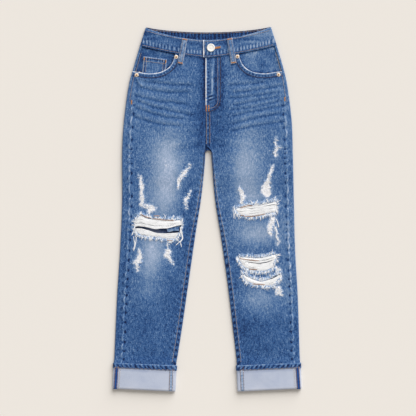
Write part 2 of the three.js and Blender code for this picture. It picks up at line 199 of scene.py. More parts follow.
def topside(y):
    """Height of the front panels' outer face before it is shaped."""
    return leg_height + hip_lift * over_pockets(y) + cuff_lift * over_turn_up(y)


def outseam_wrap(y):
    """How far the back panel comes round onto the front."""
    return mix(16, 6, ramp(y, 240, 340))


def outseam_x(side, y):
    return line_at(side["outer"], y) - side["out"] * outseam_wrap(y)


def inseam_x(side, y):
    """Inseam on a leg, running into the front rise above the crotch."""
    inseam = line_at(side["inner"], y) + side["out"] * mix(10, 2.2, ramp(y, -90, 110))
    return mix(inseam, centre_front, ease(y, crotch, rise_end))


def front_seam(x):
    """Level of the waist seam across the front, which dips to the middle."""
    return 395.5 + 31 * (np.abs(x) / 177) ** 1.4


def front_edge(x):
    """Level of the waistband's top edge across the front."""
    return 441 + 29 * (np.abs(x) / 165) ** 1.7


def back_edge(x):
    """Level of the waistband's top edge across the back, which stands higher."""
    return 461 + 11 * (np.asarray(x, float) / 158) ** 2


def back_seam(x):
    return back_edge(x) - 45


dice = np.random.RandomState(7)
noise_tables = [dice.rand(64, 64) for _ in range(8)]


def mottle(x, y, size, table=0):
    """Smooth unevenness between -1 and 1 whose spots are about `size` across."""
    grid = noise_tables[table]
    u = np.asarray(x, float) / size + 200.5
    v = np.asarray(y, float) / size + 200.5
    i = np.floor(u).astype(int)
    j = np.floor(v).astype(int)
    s = (u - i) ** 2 * (3 - 2 * (u - i))
    t = (v - j) ** 2 * (3 - 2 * (v - j))
    low, high = [mix(grid[i % 64, (j + row) % 64], grid[(i + 1) % 64, (j + row) % 64], s)
                 for row in (0, 1)]
    return 2 * mix(low, high, t) - 1


def nearest(x, y, points):
    """Distance from each place to a run of straight lines, and how far along that is."""
    points = np.asarray(points, float)
    best = np.full(np.shape(x), 1e9)
    place = np.zeros(np.shape(x))
    travelled = 0.0
    for (ax, ay), (bx, by) in zip(points[:-1], points[1:]):
        length = math.hypot(bx - ax, by - ay)
        t = np.clip(((x - ax) * (bx - ax) + (y - ay) * (by - ay)) / max(length, 1e-6) ** 2, 0, 1)
        distance = np.hypot(x - ax - t * (bx - ax), y - ay - t * (by - ay))
        closer = distance < best
        best = np.where(closer, distance, best)
        place = np.where(closer, travelled + t * length, place)
        travelled += length
    return best, place


def rounded(points, steps=6, closed=False):
    """A smooth run through a few points."""
    points = np.asarray(points, float)
    count = len(points)
    run = []
    for k in range(count if closed else count - 1):
        around = np.arange(k - 1, k + 3)
        p0, p1, p2, p3 = points[around % count if closed else np.clip(around, 0, count - 1)]
        for t in np.arange(steps) / steps:
            run.append(0.5 * (2 * p1 + (p2 - p0) * t + (2 * p0 - 5 * p1 + 4 * p2 - p3) * t * t
                              + (3 * p1 - p0 - 3 * p2 + p3) * t ** 3))
    if not closed:
        run.append(points[-1])
    return np.array(run)


# ---- Relief and wear shared by every panel on the front ----------------------------------
# Washed denim: seams rope and pucker, the thighs and knees fade, and whiskers fold across
# the hips. `lie` gives a place's height and `wear` its shade, 0 for dark and 1 for bare.

def leg_side(x):
    return np.where(np.asarray(x, float) < centre_back, -1, 1)


def share_across(x, y):
    """0 at the outer edge of a leg, 1 at its inner edge or at the centre of the hips."""
    shares = []
    for side in sides:
        outer = line_at(side["outer"], y)
        inner = mix(line_at(side["inner"], y), centre_back, ease(y, crotch - 60, rise_end + 40))
        shares.append(np.clip((x - outer) / (inner - outer), 0, 1))
    return np.where(leg_side(x) < 0, shares[0], shares[1])


def seam_distance(x, y, seam):
    """How far a place is from the outseams or the inseams, positive on the front panel."""
    return np.where(leg_side(x) < 0, x - seam(right_side, y), seam(left_side, y) - x)


def roping(y, pitch, table):
    """Puckers along a seam, with a spacing that drifts."""
    drift = 0.9 * mottle(y, 0, 47, table)
    return wave(y / pitch + drift)


creases = [               # a run along each fold across the hips
    [(-150, 331), (-114, 327), (-78, 323), (-43, 323)],
    [(-172, 317), (-139, 309), (-98, 304), (-54, 305)],
    [(-186, 296), (-154, 288), (-122, 280), (-94, 280), (-54, 273)],
    [(-178, 281), (-142, 266.5), (-112, 260), (-81, 253), (-41, 246)],
    [(-180, 262), (-139, 248), (-107, 240), (-66, 236)],
    [(-188, 240), (-150, 228), (-112, 220), (-70, 217)],
    [(60, 323), (100, 325), (144, 331)],
    [(70, 303), (125, 310), (166, 316), (190, 321)],
    [(62, 289), (96, 291), (144, 298), (184, 304)],
    [(70, 271), (116, 280), (152, 287), (186, 294)],
    [(62, 259), (125, 266), (164, 276), (192, 282)],
    [(70, 243), (103, 252), (130, 257), (171, 265), (196, 268)],
    [(66, 222), (112, 234), (144, 241), (186, 249)],
    [(64, 204), (110, 214), (150, 221), (196, 228)],
]
ridge_above = 8           # from a crease to the worn ridge beside it

# Each whisker: a run, its half width, and how much lighter it is.
whiskers = [(run, 3.2, -0.17) for run in creases]
whiskers += [([(x, y + ridge_above) for x, y in run], 5.5, 0.07) for run in creases]
whiskers += [
    ([(-183, 344), (-176, 330), (-168, 322)], 2.2, 0.2),
    ([(-178, 343), (-160, 338), (-150, 333)], 2.2, 0.16),
    ([(-184, 330), (-182, 312)], 4, -0.16),
    ([(-92, 168), (-50, 178), (-16, 190)], 5, 0.07),
    ([(98, 172), (52, 180), (20, 192)], 5, 0.07),
    ([(-84, 152), (-44, 160), (-14, 172)], 4, -0.06),
    ([(88, 156), (48, 162), (20, 174)], 4, -0.06),
]

faded = [                 # centre, half width, half height, how much lighter
    (-98, 120, 50, 92, 0.40), (-110, 40, 46, 60, 0.20), (-146, -110, 34, 60, 0.38),
    (-128, -20, 50, 40, 0.12), (-118, -112, 34, 46, 0.12), (96, 112, 50, 96, 0.38),
    (118, -62, 62, 34, 0.30), (150, -60, 46, 40, 0.10), (135, -232, 56, 40, 0.30),
    (-150, -190, 34, 60, 0.16), (120, 30, 60, 40, 0.14), (215, -160, 26, 170, 0.15),
    (-55, 30, 24, 120, -0.18), (60, 90, 20, 70, -0.10), (-30, 215, 50, 60, -0.07),
    (30, 205, 50, 70, -0.19), (100, -300, 30, 60, -0.07), (-115, 235, 80, 46, -0.06),
    (115, 235, 80, 46, -0.05), (0, 330, 60, 60, -0.08),
]


outseam_pucker = 23
inseam_pucker = 14.5
pucker_slant = 0.5
leg_puff = 1.6


def lie(x, y):
    """Height of the cloth's outer face on the front, in millimetres."""
    x = np.asarray(x, float)
    y = np.asarray(y, float)
    across = share_across(x, y)
    puff = leg_puff * (1 - np.abs(2 * across - 1) ** 3) * ease(y, -470, -380)
    puff = puff * (1 - 0.6 * ease(y, 330, 400))
    height = topside(y) + puff
    out = seam_distance(x, y, outseam_x)
    inn = seam_distance(x, y, inseam_x)
    below_hip = 1 - ease(y, 250, 300)
    on_leg = 1 - ease(y, crotch - 4, rise_end)
    height += 0.7 * close_to(out, 3.5) * below_hip
    height += 0.55 * roping(y, outseam_pucker, 1) * close_to(np.abs(out), 8) * below_hip
    height += 0.8 * close_to(inn, 3.0) * on_leg
    rope = roping(y + pucker_slant * inn, inseam_pucker, 2)
    height += 0.6 * rope * close_to(np.abs(inn + 3), 6) * on_leg
    for points, width, shade in whiskers:
        distance, _ = nearest(x, y, points)
        height += 5 * shade * close_to(distance, 1.4 * width)
    height += 0.7 * mottle(x, y, 62, 3) + 0.35 * mottle(x, y, 23, 4)
    return height


rivet_corners = ("top_right", "top_left", "side_right", "side_left")
rivet_reach = 8
rivet_sink = 0.2


def pressed(x, y, z):
    """The cloth held flat under each rivet."""
    for corner in rivet_corners:
        low, high = (np.array(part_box(f"rivet_{corner}")) - shift) * 1000
        middle = (low + high) / 2
        near = close_to(np.hypot(x - middle[0], y - middle[1]), rivet_reach, 4)
        z = mix(z, np.minimum(z, low[2] + rivet_sink), near)
    return z


def wear(x, y):
    """Shade of the cloth on the front: 0 is unworn, 1 is bare white."""
    x = np.asarray(x, float)
    y = np.asarray(y, float)
    shade = 0.37 + 0.10 * ease(y, -320, 60) + 0.04 * ease(y, 60, 240)
    for cx, cy, half_width, half_height, amount in faded:
        spot = close_to(x - cx, half_width) * close_to(y - cy, half_height)
        shade = shade + amount * spot
    across = share_across(x, y)
    shade = shade - 0.01 * close_to(across, 0.13)
    shade = shade - 0.06 * close_to(1 - across, 0.16) * (1 - ease(y, 150, 200))
    out = seam_distance(x, y, outseam_x)
    inn = seam_distance(x, y, inseam_x)
    below_hip = 1 - ease(y, 255, 300)
    on_leg = 1 - ease(y, crotch - 4, rise_end)
    rope = roping(y, outseam_pucker, 1)
    inward = np.where(leg_side(x) < 0, 4.0, 0.2)
    ridge = close_to(out - inward + 1.8 * rope, 1.8)
    shade = shade + 0.42 * ridge * below_hip * (0.75 + 0.45 * mottle(x, y, 9, 5))
    dimple = np.clip(-rope, 0, 1) ** 2
    shade = shade - 0.62 * dimple * close_to(out - inward - 4, 3.4) * below_hip
    shade = shade - 0.14 * np.clip(rope, 0, 1) * close_to(out - inward + 6, 3.5) * below_hip
    rope = roping(y + pucker_slant * inn, inseam_pucker, 2)
    nip = np.clip(rope, 0, 1) ** 1.5
    shade = shade - 0.62 * nip * close_to(inn - 4.6, 3.0) * on_leg
    shade = shade + 0.22 * np.clip(-rope, 0, 1) * close_to(inn - 6, 3) * on_leg
    shade = shade + 0.14 * close_to(inn + 3.4, 1.8) * on_leg
    for points, width, amount in whiskers:
        distance, _ = nearest(x, y, points)
        shade = shade + amount * close_to(distance, width)
    return shade + 0.035 * mottle(x, y, 46, 6) + 0.03 * mottle(x, y, 15, 7)


# ---- Denim, its right side and its wrong side --------------------------------------------
# Cotton twill, indigo warp over white weft: the shade comes from each mesh's wear value, which in
# places also carries painted shade, broken up by slubs along the warp and by the fine twill diagonal.

indigo_steps = [(0.0, (7, 27, 68)), (0.16, (20, 57, 112)), (0.36, (45, 88, 144)),
                (0.52, (73, 111, 161)), (0.68, (109, 139, 179)), (0.82, (143, 164, 194)),
                (0.95, (176, 192, 220)), (1.02, (228, 231, 241)), (1.1, (250, 249, 252))]
# The wrong side's low end is painted shade: dark navy for the insides of the back panels seen through
# the rips. Its high end is the pale wrong side of the turn-ups.
wrong_side_and_shade_steps = [(0.0, (26, 36, 62)), (0.46, (58, 76, 114)), (0.58, (164, 176, 203)),
                    (0.70, (186, 195, 216)), (1.0, (214, 219, 232))]


slub_scale = 300
fleck_scale = 520
twill_scale = 210
slub_left_when_bare = 0.34


def cloth_finish(name, steps, slub, twill):
    """A woven cotton whose shade is read from the mesh's own wear value, which also carries painted
    shade in places.
    """
    material, shader, nodes, link = new_finish(name, 0.92, 0.18)
    shader.inputs["Sheen Weight"].default_value = 0.12
    shader.inputs["Sheen Roughness"].default_value = 0.6

    def math_node(operation, first, second):
        node = nodes.new("ShaderNodeMath")
        node.operation = operation
        for socket, value in zip(node.inputs, (first, second)):
            if isinstance(value, (int, float)):
                socket.default_value = value
            else:
                link(value, socket)
        return node.outputs[0]

    place = nodes.new("ShaderNodeTexCoord").outputs["Object"]

    def threads(stretch, scale):
        mapping = nodes.new("ShaderNodeMapping")
        mapping.inputs["Scale"].default_value = stretch
        link(place, mapping.inputs["Vector"])
        noise = nodes.new("ShaderNodeTexNoise")
        noise.inputs["Scale"].default_value = scale
        noise.inputs["Detail"].default_value = 3
        noise.inputs["Roughness"].default_value = 0.65
        link(mapping.outputs["Vector"], noise.inputs["Vector"])
        return math_node("SUBTRACT", noise.outputs["Fac"], 0.5)

    warp_slub = threads((1.0, 0.45, 0.6), slub_scale)
    fleck = threads((1.0, 0.85, 0.7), fleck_scale)
    diagonal = nodes.new("ShaderNodeTexWave")
    diagonal.bands_direction = "DIAGONAL"
    diagonal.inputs["Scale"].default_value = twill_scale
    diagonal.inputs["Distortion"].default_value = 1.5
    diagonal.inputs["Detail"].default_value = 1
    link(place, diagonal.inputs["Vector"])
    rib = math_node("SUBTRACT", diagonal.outputs["Fac"], 0.5)

    worn = nodes.new("ShaderNodeAttribute")
    worn.attribute_name = "wear"
    contrast = nodes.new("ShaderNodeMapRange")
    contrast.inputs["From Min"].default_value = 0.45
    contrast.inputs["From Max"].default_value = 0.85
    contrast.inputs["To Min"].default_value = slub
    contrast.inputs["To Max"].default_value = slub_left_when_bare * slub
    link(worn.outputs["Fac"], contrast.inputs["Value"])
    grain = math_node("ADD", warp_slub, math_node("MULTIPLY", fleck, 1.3))
    flecked = math_node("MULTIPLY_ADD", grain, contrast.outputs["Result"])
    link(worn.outputs["Fac"], flecked.node.inputs[2])
    ribbed = math_node("MULTIPLY_ADD", rib, twill)
    link(flecked, ribbed.node.inputs[2])
    dye = nodes.new("ShaderNodeValToRGB")
    while len(dye.color_ramp.elements) < len(steps):
        dye.color_ramp.elements.new(0.5)
    for element, (position, tone) in zip(dye.color_ramp.elements, steps):
        element.position = position / steps[-1][0]
        element.color = colour(*tone)
    link(math_node("DIVIDE", ribbed, steps[-1][0]), dye.inputs["Fac"])
    link(dye.outputs["Color"], shader.inputs["Base Color"])

    bump = nodes.new("ShaderNodeBump")
    bump.inputs["Strength"].default_value = 0.5
    bump.inputs["Distance"].default_value = 0.0006
    link(math_node("ADD", warp_slub, math_node("MULTIPLY", rib, 0.5)), bump.inputs["Height"])
    link(bump.outputs["Normal"], shader.inputs["Normal"])
    return material


denim = cloth_finish("denim", indigo_steps, 1.1, 0.05)
denim_wrong_side_and_shade = cloth_finish("denim_wrong_side_and_shade", wrong_side_and_shade_steps, 0.07, 0.02)
denim_faces = [denim, denim_wrong_side_and_shade]


def cloth_grid(name, across, down, shape, replaces=(), thickness=denim_ply,
               faces=denim_faces, cut=(), ring=False):
    """A woven panel: a grid placed by `shape`, cut, given its thickness and its finish.

    shape(u, v) takes shares across and down and returns x, y, z and wear, in millimetres.
    flat is the width and length that it was cut to, and area that cut's, in metres. faces
    faces are its outer and inner finishes, and ring closes it round a leg.
    """
    bpy.ops.object.select_all(action="DESELECT")
    bpy.ops.mesh.primitive_grid_add(x_subdivisions=across, y_subdivisions=down, size=1)
    panel = bpy.context.object
    panel.name = name
    panel.data.name = name
    places = np.empty(len(panel.data.vertices) * 3)
    panel.data.vertices.foreach_get("co", places)
    u = places[0::3] + 0.5
    v = 0.5 - places[1::3]
    x, y, z, shade = shape(u, v)
    panel.data.vertices.foreach_set("co", to_frame(x, y, z).ravel())
    put_wear(panel, shade)
    if ring:
        bpy.ops.object.mode_set(mode="EDIT")
        bpy.ops.mesh.select_all(action="SELECT")
        bpy.ops.mesh.remove_doubles(threshold=0.00005)
        bpy.ops.object.mode_set(mode="OBJECT")
    for outline in cut:
        cut_away(panel, outline)
    wall = panel.modifiers.new("ply", "SOLIDIFY")
    wall.thickness = thickness / 1000
    wall.offset = -1
    wall.use_even_offset = False
    wall.material_offset = len(faces) - 1
    wall.material_offset_rim = 0
    for material in faces:
        panel.data.materials.append(material)
    bpy.ops.object.modifier_apply(modifier="ply")
    bpy.ops.object.shade_smooth_by_angle(angle=math.radians(60))
    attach(panel, "root")
    for node in replaces:
        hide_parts(node)
    return panel


def to_frame(x, y, z):
    """Millimetres of this pattern as metres of the frame."""
    x, y, z = np.broadcast_arrays(x, y, z)
    return np.stack([x, y, z], axis=-1) / 1000 + shift


def put_wear(panel, shade):
    layer = panel.data.attributes.new("wear", "FLOAT", "POINT")
    count = len(panel.data.vertices)
    layer.data.foreach_set("value", np.broadcast_to(shade, (count,)).astype(np.float32))


def inside(x, y, outline):
    """Whether places lie inside a closed outline."""
    result = np.zeros(np.shape(x), bool)
    for (ax, ay), (bx, by) in zip(outline, np.roll(outline, -1, axis=0)):
        crosses = (ay > y) != (by > y)
        meet = ax + (y - ay) * (bx - ax) / (by - ay if by != ay else 1e-9)
        result ^= crosses & (x < meet)
    return result


snap_reach = 1.3


def snap_to(x, y, outline):
    """Moves the places nearest an outline onto it, so that a cut has a smooth edge."""
    best = np.full(x.shape, 1e9)
    nearest_x = x.copy()
    nearest_y = y.copy()
    for (ax, ay), (bx, by) in zip(outline, np.roll(outline, -1, axis=0)):
        length = max((bx - ax) ** 2 + (by - ay) ** 2, 1e-9)
        t = np.clip(((x - ax) * (bx - ax) + (y - ay) * (by - ay)) / length, 0, 1)
        px = ax + t * (bx - ax)
        py = ay + t * (by - ay)
        distance = np.hypot(x - px, y - py)
        closer = distance < best
        best = np.where(closer, distance, best)
        nearest_x = np.where(closer, px, nearest_x)
        nearest_y = np.where(closer, py, nearest_y)
    near = best < snap_reach
    return np.where(near, nearest_x, x), np.where(near, nearest_y, y)


def cut_away(panel, outline):
    """Cuts an outline out of a panel's grid."""
    mesh = panel.data
    flat = np.empty(len(mesh.vertices) * 3)
    mesh.vertices.foreach_get("co", flat)
    places = (flat.reshape(-1, 3) - shift) * 1000
    places[:, 0], places[:, 1] = snap_to(places[:, 0], places[:, 1], outline)
    mesh.vertices.foreach_set("co", (places / 1000 + shift).ravel())
    corners = np.empty(len(mesh.loops), int)
    mesh.loops.foreach_get("vertex_index", corners)
    corners = corners.reshape(-1, 4)
    middle = places[corners].mean(axis=1)
    gone = inside(middle[:, 0], middle[:, 1], outline)

    # Faces are chosen in face mode, with no point or edge left chosen beside them.
    mesh.vertices.foreach_set("select", np.zeros(len(mesh.vertices), bool))
    mesh.edges.foreach_set("select", np.zeros(len(mesh.edges), bool))
    bpy.ops.object.mode_set(mode="EDIT")
    bpy.ops.mesh.select_mode(type="FACE")
    bpy.ops.object.mode_set(mode="OBJECT")
    mesh.polygons.foreach_set("select", gone)
    bpy.ops.object.mode_set(mode="EDIT")
    bpy.ops.mesh.delete(type="FACE")
    bpy.ops.mesh.select_mode(type="VERT")
    bpy.ops.mesh.select_all(action="SELECT")
    bpy.ops.mesh.delete_loose()
    bpy.ops.object.mode_set(mode="OBJECT")


# ---- Back panels -------------------------------------------------------------------------
# One long denim panel a side, lying on the table. Each comes round both folded edges of the
# leg onto the front, where the outseam and the inseam join it to the front panel.

yoke_seam_side = 387
yoke_seam_centre = 337

# Shares of the way round a back panel where it meets the outer fold, leaves it, meets the
# inner fold and leaves that. At the seat the last two are one stretch up to the back rise.
fold_start = 0.14
fold_end = 0.28
inner_fold_start = 0.76
inner_fold_end = 0.9
seat_share = 0.9


def across_seat(t):
    """How far from the outer fold to the back rise a place is."""
    return np.where(t < inner_fold_start, seat_share * ramp(t, fold_end, inner_fold_start),
                    seat_share + (1 - seat_share) * ramp(t, inner_fold_start, 1))


def round_path(side, y, t, on_leg):
    """A place on the back panel: t runs from the outseam round under to the inner seam."""
    top = topside(y)
    bottom = underside(y)
    middle = (top + bottom) / 2
    radius = (top - bottom) / 2
    out = side["out"]
    edge = line_at(side["outer"], y)
    seam = outseam_x(side, y)
    inner_edge = line_at(side["inner"], y)
    fold_in = edge - out * radius
    wrap = ramp(t, 0, fold_start)
    turn = math.pi * ramp(t, fold_start, fold_end)
    x = np.where(t < fold_start, mix(seam, fold_in, wrap), edge - out * radius * (1 - np.sin(turn)))
    z = np.where(t < fold_start, top, middle + radius * np.cos(turn))
    hip_x = mix(fold_in, centre_back, across_seat(t))
    fold_out = inner_edge + out * radius
    leg_x = mix(fold_in, fold_out, ramp(t, fold_end, inner_fold_start))
    turn = math.pi * ramp(t, inner_fold_start, inner_fold_end)
    leg_x = np.where(t > inner_fold_start, inner_edge + out * radius * (1 - np.sin(turn)), leg_x)
    seam_in = np.where(y < crotch, inseam_x(side, y), inner_edge + out * 2.2)
    on_top = ramp(t, inner_fold_end, 1)
    leg_x = np.where(t > inner_fold_end, mix(fold_out, seam_in, on_top), leg_x)
    leg_z = np.where(t < inner_fold_start, bottom, middle - radius * np.cos(turn))
    leg_z = np.where(t > inner_fold_end, top, leg_z)
    x = np.where(t > fold_end, mix(hip_x, leg_x, on_leg), x)
    z = np.where(t > fold_end, mix(bottom, leg_z, on_leg), z)
    bulge = ramp(z, bottom, top)
    z = z + bulge * (lie(x, y) - top)
    return x, z


def back_wear_and_shade(x, y, lower):
    """The front's shade where the cloth is on top, a plainer one underneath, and painted shade at the
    fork.
    """
    seat = 0.16 * close_to(np.abs(x) - 110, 60) * close_to(y - 230, 90)
    knee = 0.10 * close_to(np.abs(x) - 150, 40) * close_to(y + 120, 70)
    plain = 0.40 + 0.06 * ease(y, -300, 100) + seat + knee
    plain = plain + 0.04 * mottle(x, y, 40, 5) + 0.03 * mottle(x, y, 14, 2)
    centre = close_to(x - centre_back, 5) * ease(y, 140, 160)
    plain = plain + 0.13 * centre * wave(y / 13 + mottle(y, 0, 30, 4) / math.pi)
    edge = np.minimum(share_across(x, y), 1 - share_across(x, y) + 2 * ease(y, 120, 150))
    plain = plain + 0.12 * close_to(edge, 0.05) * (1 + roping(y, 19, 6)) / 2
    # Painted shade at the fork, where the front panels part below the rise and the back shows.
    fork = close_to(x - centre_back, 12) * close_to(y - 161, 13)
    return mix(wear(x, y), plain, lower) - 0.5 * fork


def yoke_seam(t):
    """Level of the seam under a yoke, lower towards the back rise."""
    return mix(yoke_seam_side, yoke_seam_centre, across_seat(t))


hip_level = 200
hip_rows = 0.3            # the share of a panel's rows above that level
half_gap = 0.2


def back_shape(side):
    def shape(u, v):
        t = 1 - u if side["out"] < 0 else u
        at_hip = mix(yoke_seam(t) - half_gap, hip_level, ramp(v, 0, hip_rows))
        y = np.where(v < hip_rows, at_hip, mix(hip_level, leg_end, ramp(v, hip_rows, 1)))
        x, z = round_path(side, y, t, 1 - ease(y, crotch - 4, crotch + 8))
        lower = ease(t, 0.16, 0.24) * np.where(y < crotch, 1 - ease(t, 0.8, 0.88), 1)
        return x, y, z, back_wear_and_shade(x, y, lower)
    return shape


for side in sides:
    cloth_grid(f"back_panel_{side['name']}", 66, 214, back_shape(side),
               replaces=[f"back_{side['name']}"])


# The four seams meet at the fork, where the turned-in ends show as one small ply, painted dark as
# shade.
def fork_shape(u, v):
    x = mix(-6, 13, u)
    y = mix(172, 154 + 2 * (2 * u - 1) ** 2, v)
    z = 5.2 + 0.6 * np.cos(math.pi * (u - 0.5))
    shade = 0.10 + 0.16 * close_to(x - 1.5, 1.4) - 0.14 * close_to(v - 0.7, 0.12)
    return x, y, z, shade + 0.06 * mottle(x, y, 4, 3)


cloth_grid("fork_ply", 12, 14, fork_shape,
           faces=[denim])


# ---- Front panels ------------------------------------------------------------------------
# Two denim panels with the pocket mouths scooped out and the rips worn right through. The
# wearer's left one carries the fly flap, whose edge is the line down the centre front.

pocket_mouth = rounded([(82, 412), (83, 402), (86, 392), (93, 377), (105, 365.5), (125, 356.5),
                        (152, 354), (180, 358), (205, 361)])
thigh_rip = rounded([(72, 2), (88, 8), (101, 14), (113, 13), (139, 15), (152, 18.5), (166, 20),
                     (178, 23.5), (182, 12), (178, -8), (166, -10), (152, -12), (138, -15),
                     (126, -17), (111, -18.5), (99, -16), (88, -15), (77, -7)], 4, True)
right_knee_rip = rounded([(-172, -13), (-161, -19), (-152, -22), (-133, -23.5), (-109, -25.5),
                          (-84, -27), (-69, -25), (-67, -40), (-69, -52), (-72, -61), (-83, -76),
                          (-108, -77), (-124, -73), (-138, -71), (-152, -70), (-168, -68),
                          (-183, -60), (-188, -42), (-184, -22)], 4, True)
left_knee_upper = rounded([(82, -124), (99, -122), (121, -124), (137, -124.5), (155, -120.5),
                           (177, -116), (180, -126), (174, -140), (171, -150), (155, -159),
                           (137, -160.5), (122, -159), (110, -157), (94, -149), (86, -138)], 4, True)
left_knee_lower = rounded([(91, -166), (101, -171), (117, -178), (130, -183), (143, -185),
                           (157, -181), (170, -175), (188, -166), (191, -174), (185, -184),
                           (171, -197), (152, -198.5), (132, -196), (117, -192), (99, -185)], 4, True)
rips = {"left_thigh": thigh_rip, "right_knee": right_knee_rip, "left_knee_upper": left_knee_upper,
        "left_knee_lower": left_knee_lower}


def mirrored(points, side):
    """Points drawn for the wearer's left, on either side."""
    return np.asarray(points, float) * np.array([side["out"], 1])


def mouth_outline(side):
    """All that is scooped away at a pocket mouth, out past the side and the waist."""
    return mirrored(np.vstack([pocket_mouth, [(260, 361), (260, 470), (82, 470)]]), side)


# Places rubbed down to the weft without a hole: runs of (x, y, half width).
scuffs = [
    [(-176, 90, 1.6), (-172, 80, 3.4), (-170, 64, 4.6), (-170, 40, 4.2), (-168, 24, 4), (-172, 14, 4.5),
     (-158, 8, 5), (-142, 3, 9), (-148, -2, 7)],
    [(-44, 118, 1.2), (-50, 108, 2.4), (-58, 98, 3.6), (-62, 90, 5), (-72, 80, 5.4), (-75, 66, 2.6),
     (-77, 56, 1.6)],
    [(-43, 46, 1.4), (-50, 34, 3.4), (-55, 26, 5), (-55, 14, 2.4), (-54, 2, 1.2)],
    [(-102, -84, 1.6), (-102, -102, 2), (-102, -111, 8.6), (-103, -120, 7.4), (-94, -131, 2.6),
     (-90, -142, 1.4)],
    [(-178, -100, 1.6), (-174, -114, 2.6), (-174, -124, 5), (-179, -134, 9), (-188, -136, 6),
     (-180, -150, 3), (-179, -160, 2.6)],
    [(180, 186, 1.4), (178, 174, 2.2), (181, 163, 2.6), (177, 152, 3), (180, 140, 1.8)],
    [(189, 163, 1.2), (182, 160, 2)],
    [(170, 115, 1.4), (167, 103, 3.2), (162, 88, 3.4), (158, 76, 5), (153, 56, 13.5), (156, 44, 10.5)],
    [(84, 58, 3.2), (90, 46, 6.6), (92, 34, 5.8), (90, 18, 4.6), (92, 8, 4.2)],
    [(172, -22, 6.5), (168, -34, 7), (162, -46, 7), (166, -66, 2.4)],
    [(178, -46, 1.6), (182, -60, 1.6), (181, -72, 1.8), (187, -80, 1.8), (184, -90, 1.4)],
    [(178, -150, 4), (188, -162, 5.5), (190, -176, 4.4)],
    [(184, -202, 4.4), (190, -212, 6), (182, -217, 5), (196, -222, 3)],
]


def wobble(x, y):
    """Pushes places about, so that a rubbed edge is ragged."""
    return (x + 2.6 * mottle(x, y, 8, 0) + 1.2 * mottle(x, y, 3.4, 2),
            y + 3.4 * mottle(x, y, 7, 1) + 1.6 * mottle(x, y, 3.1, 3))


def scuff_reach(x, y):
    """How far inside a rubbed patch a place is, in millimetres, below 0 outside."""
    wx, wy = wobble(x, y)
    depth = np.full(np.shape(x), -99.0)
    for run in scuffs:
        for (ax, ay, ar), (bx, by, br) in zip(run[:-1], run[1:]):
            length = max((bx - ax) ** 2 + (by - ay) ** 2, 1e-6)
            t = np.clip(((wx - ax) * (bx - ax) + (wy - ay) * (by - ay)) / length, 0, 1)
            gap = np.hypot(wx - ax - t * (bx - ax), wy - ay - t * (by - ay))
            depth = np.maximum(depth, mix(ar, br, t) - gap)
    return depth


def rip_fringe(x, y):
    """1 at the torn edge of a rip, falling to 0 over the cloth around it."""
    wx, wy = wobble(x, y)
    fringe = np.zeros(np.shape(x))
    for outline in rips.values():
        distance, _ = nearest(wx, wy, np.vstack([outline, outline[:1]]))
        fringe = np.maximum(fringe, 1 - ease(distance, 3.0, 11.0))
    return fringe


def front_wear_and_shade(side, x, y):
    """Shade of a front panel, with its worn pocket mouth, torn and rubbed places, and a painted shadow
    line beside the mouth's outer row.
    """
    shade = wear(x, y)
    mouth, along = nearest(x, y, mirrored(pocket_mouth, side))
    nips = wave(along / 7.6 + 0.3 * mottle(along, 0, 21, 3))
    shade = shade + 0.66 * close_to(mouth, 1.9, 4) * (0.85 + 0.3 * mottle(x, y, 6, 1))
    shade = shade - (0.30 - 0.44 * np.clip(nips, 0, 1)) * close_to(mouth - 6.6, 2.6)
    # A painted shadow line beside the outer row of stitching at the mouth.
    shade = shade - 0.30 * close_to(mouth - 11.6, 1.7)
    shade = shade - 0.12 * close_to(mouth - 17.5, 6)
    band = front_seam(x) - y
    shade = shade - 0.24 * close_to(band, 5)
    reach = scuff_reach(x, y)
    bare = ease(reach, -1.0, 2.0)
    halo = ease(reach, -6.0, -1.0) * (0.6 + 0.6 * mottle(x, y, 4, 6))
    halo = np.maximum(halo, rip_fringe(x, y) * (0.7 + 0.6 * mottle(x, y, 5, 4)))
    shade = mix(shade, 0.84 + 0.34 * mottle(x, y, 5.5, 7), np.clip(halo, 0, 1))
    return mix(shade, 1.12 + 0.10 * mottle(x, y, 5, 3), bare)


def fly_relief(x, y):
    """The flap over the zip: its edge, the ridge of the chain and the folds across it."""
    flap = ease(y, 246, 262)
    ridge = close_to(x - 13, 5) * flap
    edge = close_to(x - centre_front - 2, 3.5) * flap
    folds = close_to(x - 6, 16) * close_to(y - 288, 16) * wave(y / 9)
    return 0.9 * ridge + 0.7 * edge + 0.5 * folds


def fly_wear_and_shade(x, y):
    """What the fly adds to the shade: a bright edge and chain, dark beside them, and painted shadow
    lines either side of the rise seam.
    """
    flap = ease(y, 250, 266) * (1 - ease(y, 388, 398))
    chain = 13.5 + 4 * ease(y, 345, 390)
    ridge = 0.46 * close_to(x - chain, 2.6) * ease(y, 294, 306) * (0.8 + 0.4 * mottle(x, y, 9, 2))
    beside = -(0.26 * close_to(x - 23, 5) + 0.2 * close_to(x - 38, 8)) * flap
    edge = 0.80 * close_to(x - centre_front - 1, 2.0) * ease(y, 262, 276)
    nips = 0.24 * close_to(x - 3, 2.6) * (wave(y / 8.6) - 0.4) * flap
    folds = 0.46 * close_to(x - 7, 13) * close_to(y - 290, 11)
    folds = folds * np.cos(2 * math.pi * (y - 0.4 * x) / 9 + 1)
    rise = ease(y, 158, 170) * (1 - ease(y, 250, 262))
    seam = 0.14 * close_to(x - 2.6, 2.6) * rise * (0.4 + wave(y / 12.5))
    # Painted shadow lines either side of the rise seam below the flap.
    seam = seam - 0.34 * rise * (close_to(x + 2.4, 1.6) + close_to(x - 6, 1.6))
    return ridge + beside + edge + nips + folds + seam


def fly_shadow(x, y):
    """The cloth under the flap's edge, and the seam that carries on below it."""
    depth = 0.34 * close_to(x + 7, 3.5) * ease(y, 250, 300)
    return -depth - 0.16 * close_to(x + 14, 9) * ease(y, 150, 200)


mouth_roll = 0.8


